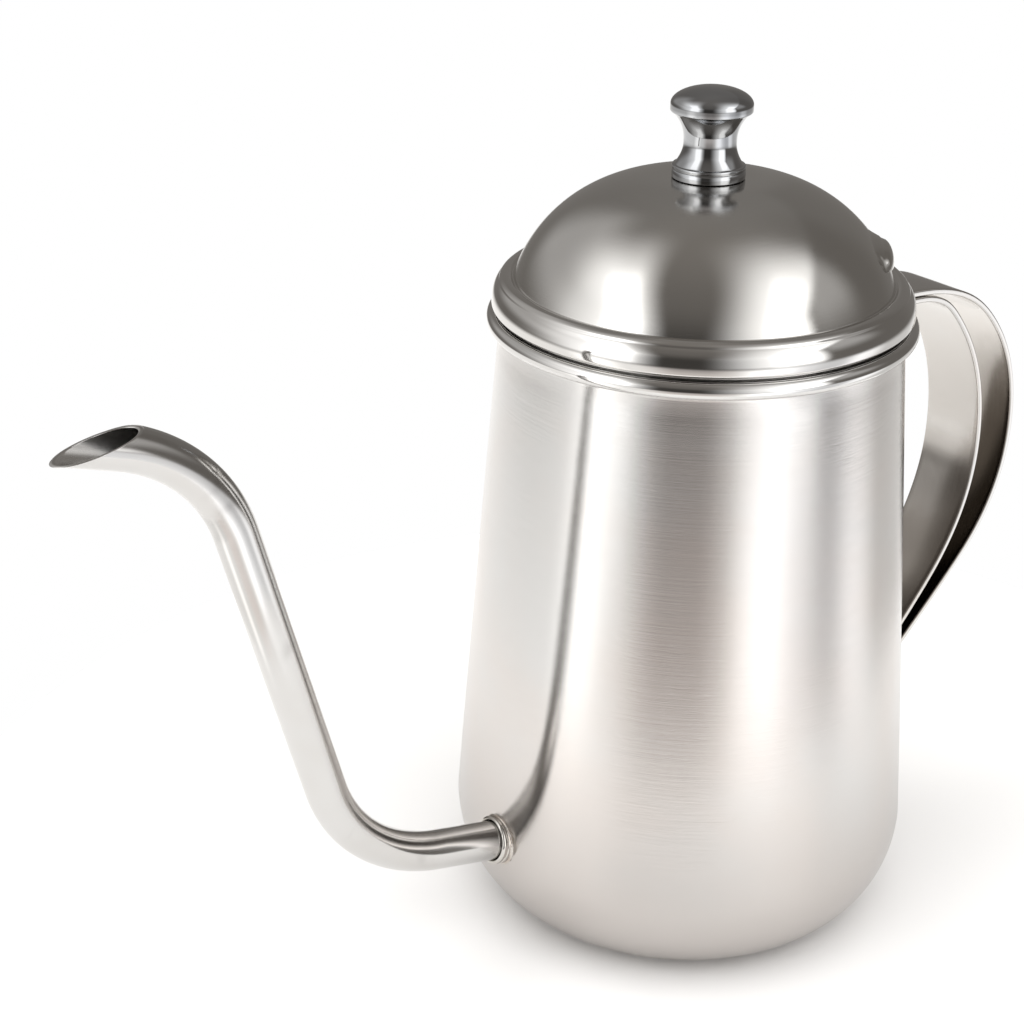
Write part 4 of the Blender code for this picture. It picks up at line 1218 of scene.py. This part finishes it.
# the pale table under the object: its tone, and what lies on it or shades it
# (azimuth, half width, soft edge, upper elevation, soft edge of that, change)
TABLE = 1.18
ON_TABLE = (
    (-92.0, 12.0, 10.0, 4.0, 4.0, 0.75),               # sheen under the right softbox
    (172.0, 11.0, 9.0, 4.0, 4.0, 0.75),                # sheen under the left softbox
    (-55.0, 11.0, 9.0, 4.0, 4.0, -0.32),               # gap between light and wall
    (-4.0, 26.0, 14.0, 4.0, 4.0, -0.40),               # dim far side behind the handle
)
FRONT_SHADE = (-134.0, 20.0, 13.0, 0.58)               # the table ends before the camera
ROOM = 0.17
world = bpy.data.worlds.new("studio")
scene.world = world
world.use_nodes = True
n = Nodes(world.node_tree)
out = n.add("ShaderNodeOutputWorld")
tc = n.add("ShaderNodeTexCoord")
sep = n.add("ShaderNodeSeparateXYZ")
n.put(sep.inputs[0], tc.outputs["Generated"])
az = n.math('ARCTAN2', sep.outputs[1], sep.outputs[0])
el = n.math('ARCSINE', sep.outputs[2])
R = math.radians
total = None
for a0, hw, sl, sh, e0, hh, se, val in BOARDS:
    d = n.math('WRAP', n.math('SUBTRACT', az, R(a0)), math.pi, -math.pi)
    w1 = n.span(d, R(-hw - sl), R(-hw + sl))
    w2 = n.span(d, R(hw - sh), R(hw + sh), 1.0, 0.0)
    w3 = n.span(el, R(e0 - hh - se), R(e0 - hh + se))
    w4 = n.span(el, R(e0 + hh - se), R(e0 + hh + se), 1.0, 0.0)
    w = n.math('MULTIPLY', n.math('MULTIPLY', w1, w2), n.math('MULTIPLY', w3, w4))
    w = n.math('MULTIPLY', w, val)
    total = w if total is None else n.math('ADD', total, w)
# below 26 degrees the strips run straight down to the table
ec = n.math('MAXIMUM', el, R(26))
ce, se_ = n.math('COSINE', ec), n.math('SINE', ec)
dx = n.math('MULTIPLY', n.math('COSINE', az), ce)
dy = n.math('MULTIPLY', n.math('SINE', az), ce)
foot = n.span(el, R(-14), R(-4))
for top, tilt, near, hard0, hard1, soft0, soft1, reach, val, core, (c0_, c1_) in STRIPS:
    nx = math.cos(R(90 - tilt)) * math.cos(R(top + 180))
    ny = math.cos(R(90 - tilt)) * math.sin(R(top + 180))
    nz = math.sin(R(90 - tilt))
    q = n.math('ADD', n.math('MULTIPLY', dx, nx), n.math('MULTIPLY', dy, ny))
    q = n.math('MULTIPLY_ADD', se_, nz, q)
    t = n.math('ADD', n.math('MULTIPLY', dx, math.cos(R(near))),
               n.math('MULTIPLY', dy, math.sin(R(near))))
    if hard0 < hard1:
        w = n.math('MULTIPLY', n.span(q, hard0, hard1), n.span(q, soft0, soft1, 1.0, 0.0))
    else:
        w = n.math('MULTIPLY', n.span(q, hard1, hard0, 1.0, 0.0), n.span(q, soft1, soft0))
    mid = n.math('MULTIPLY', n.span(q, c0_ - 0.06, c0_ + 0.06),
                 n.span(q, c1_ - 0.06, c1_ + 0.06, 1.0, 0.0))
    mid = n.math('MULTIPLY', mid, n.span(t, 0.42, 0.62, 0.0, core))
    w = n.math('MULTIPLY', w, n.span(t, -0.12, reach, 0.02 * val, val))
    w = n.math('MULTIPLY', n.math('ADD', w, mid), foot)
    total = n.math('ADD', total, w)
lift = n.span(el, R(35), R(88), 0.0, 0.07)
room = n.math('ADD', lift, ROOM)
# the unlit side of the room behind the camera
d = n.math('ABSOLUTE', n.math('WRAP', n.math('SUBTRACT', az, R(-134)), math.pi, -math.pi))
w = n.math('MULTIPLY', n.span(d, R(22), R(50), 1.0, 0.0), n.span(el, R(14), R(44), 0.64, 0.0))
room = n.math('MULTIPLY', room, n.math('SUBTRACT', 1.0, w))
below = n.span(el, R(-16.5), R(-8), 1.0, 0.0)
table = None
for a0, hw, sa, e0, se, val in ON_TABLE:
    d = n.math('ABSOLUTE', n.math('WRAP', n.math('SUBTRACT', az, R(a0)), math.pi, -math.pi))
    w = n.math('MULTIPLY', n.span(d, R(hw - sa), R(hw + sa), 1.0, 0.0), val)
    table = n.math('ADD', w, TABLE if table is None else table)
a0, hw, sa, val = FRONT_SHADE
d = n.math('ABSOLUTE', n.math('WRAP', n.math('SUBTRACT', az, R(a0)), math.pi, -math.pi))
front = n.span(d, R(hw - sa), R(hw + sa), 1.0, 0.0)
w = n.math('MULTIPLY', front,
           n.math('ADD', n.span(el, R(-46), R(-30), 0.04, 0.36),
                  n.span(el, R(-28), R(-14), 0.0, val - 0.36)))
table = n.math('MULTIPLY', table, n.math('SUBTRACT', 1.0, w))
# straight down everything is plain table
table = n.math('ADD', n.math('MULTIPLY', table, n.span(el, R(-72), R(-38))),
               n.span(el, R(-72), R(-38), 1.0, 0.0))
table = n.math('MULTIPLY', table, below)
room = n.math('MULTIPLY', room, n.math('SUBTRACT', 1.0, below))
bg_room = n.add("ShaderNodeBackground")
bg_room.inputs[0].default_value = (1.0, 0.93, 0.86, 1.0)
n.put(bg_room.inputs[1], room)
bg_box = n.add("ShaderNodeBackground")
bg_box.inputs[0].default_value = (1.0, 1.0, 1.0, 1.0)
n.put(bg_box.inputs[1], total)
bg_table = n.add("ShaderNodeBackground")
# warmer towards the camera, neutral on the right
d = n.math('ABSOLUTE', n.math('WRAP', n.math('SUBTRACT', az, R(-62)), math.pi, -math.pi))
hue = n.mix(front, (1.0, 0.985, 0.965), (1.0, 0.925, 0.885))
hue = n.mix(n.span(d, R(24), R(52), 1.0, 0.0), hue, (1.0, 1.0, 1.015))
n.put(bg_table.inputs[0], hue)
n.put(bg_table.inputs[1], table)
add0 = n.add("ShaderNodeAddShader")
n.t.links.new(bg_room.outputs[0], add0.inputs[0])
n.t.links.new(bg_table.outputs[0], add0.inputs[1])
add = n.add("ShaderNodeAddShader")
n.t.links.new(add0.outputs[0], add.inputs[0])
n.t.links.new(bg_box.outputs[0], add.inputs[1])
bg_white = n.add("ShaderNodeBackground")
bg_white.inputs[0].default_value = (1.0, 1.0, 1.0, 1.0)
bg_white.inputs[1].default_value = 1.0
lp = n.add("ShaderNodeLightPath")
mix = n.add("ShaderNodeMixShader")
n.t.links.new(lp.outputs["Is Camera Ray"], mix.inputs[0])
n.t.links.new(add.outputs[0], mix.inputs[1])
n.t.links.new(bg_white.outputs[0], mix.inputs[2])
n.t.links.new(mix.outputs[0], out.inputs[0])

scene.view_settings.view_transform = 'Standard'
scene.view_settings.look = 'None'
scene.view_settings.exposure = 0.0

# ------------------------------------------------------------------ camera
cam = bpy.data.cameras.new("photo_view")
cam.lens = 63.64
cam.sensor_width = 36.0
cam.clip_start = 0.01
cam.clip_end = 20.0
cam_ob = bpy.data.objects.new("photo_view", cam)
scene.collection.objects.link(cam_ob)
mw = Matrix.Identity(4)
for c, v in enumerate(((0.82293, -0.56811, 0.00589), (0.23805, 0.35419, 0.90437),
                       (-0.51587, -0.74283, 0.42671))):
    for r in range(3):
        mw[r][c] = v[r]
mw.translation = (-0.22219, -0.25560, 0.24348)
cam_ob.matrix_world = mw
scene.camera = cam_ob
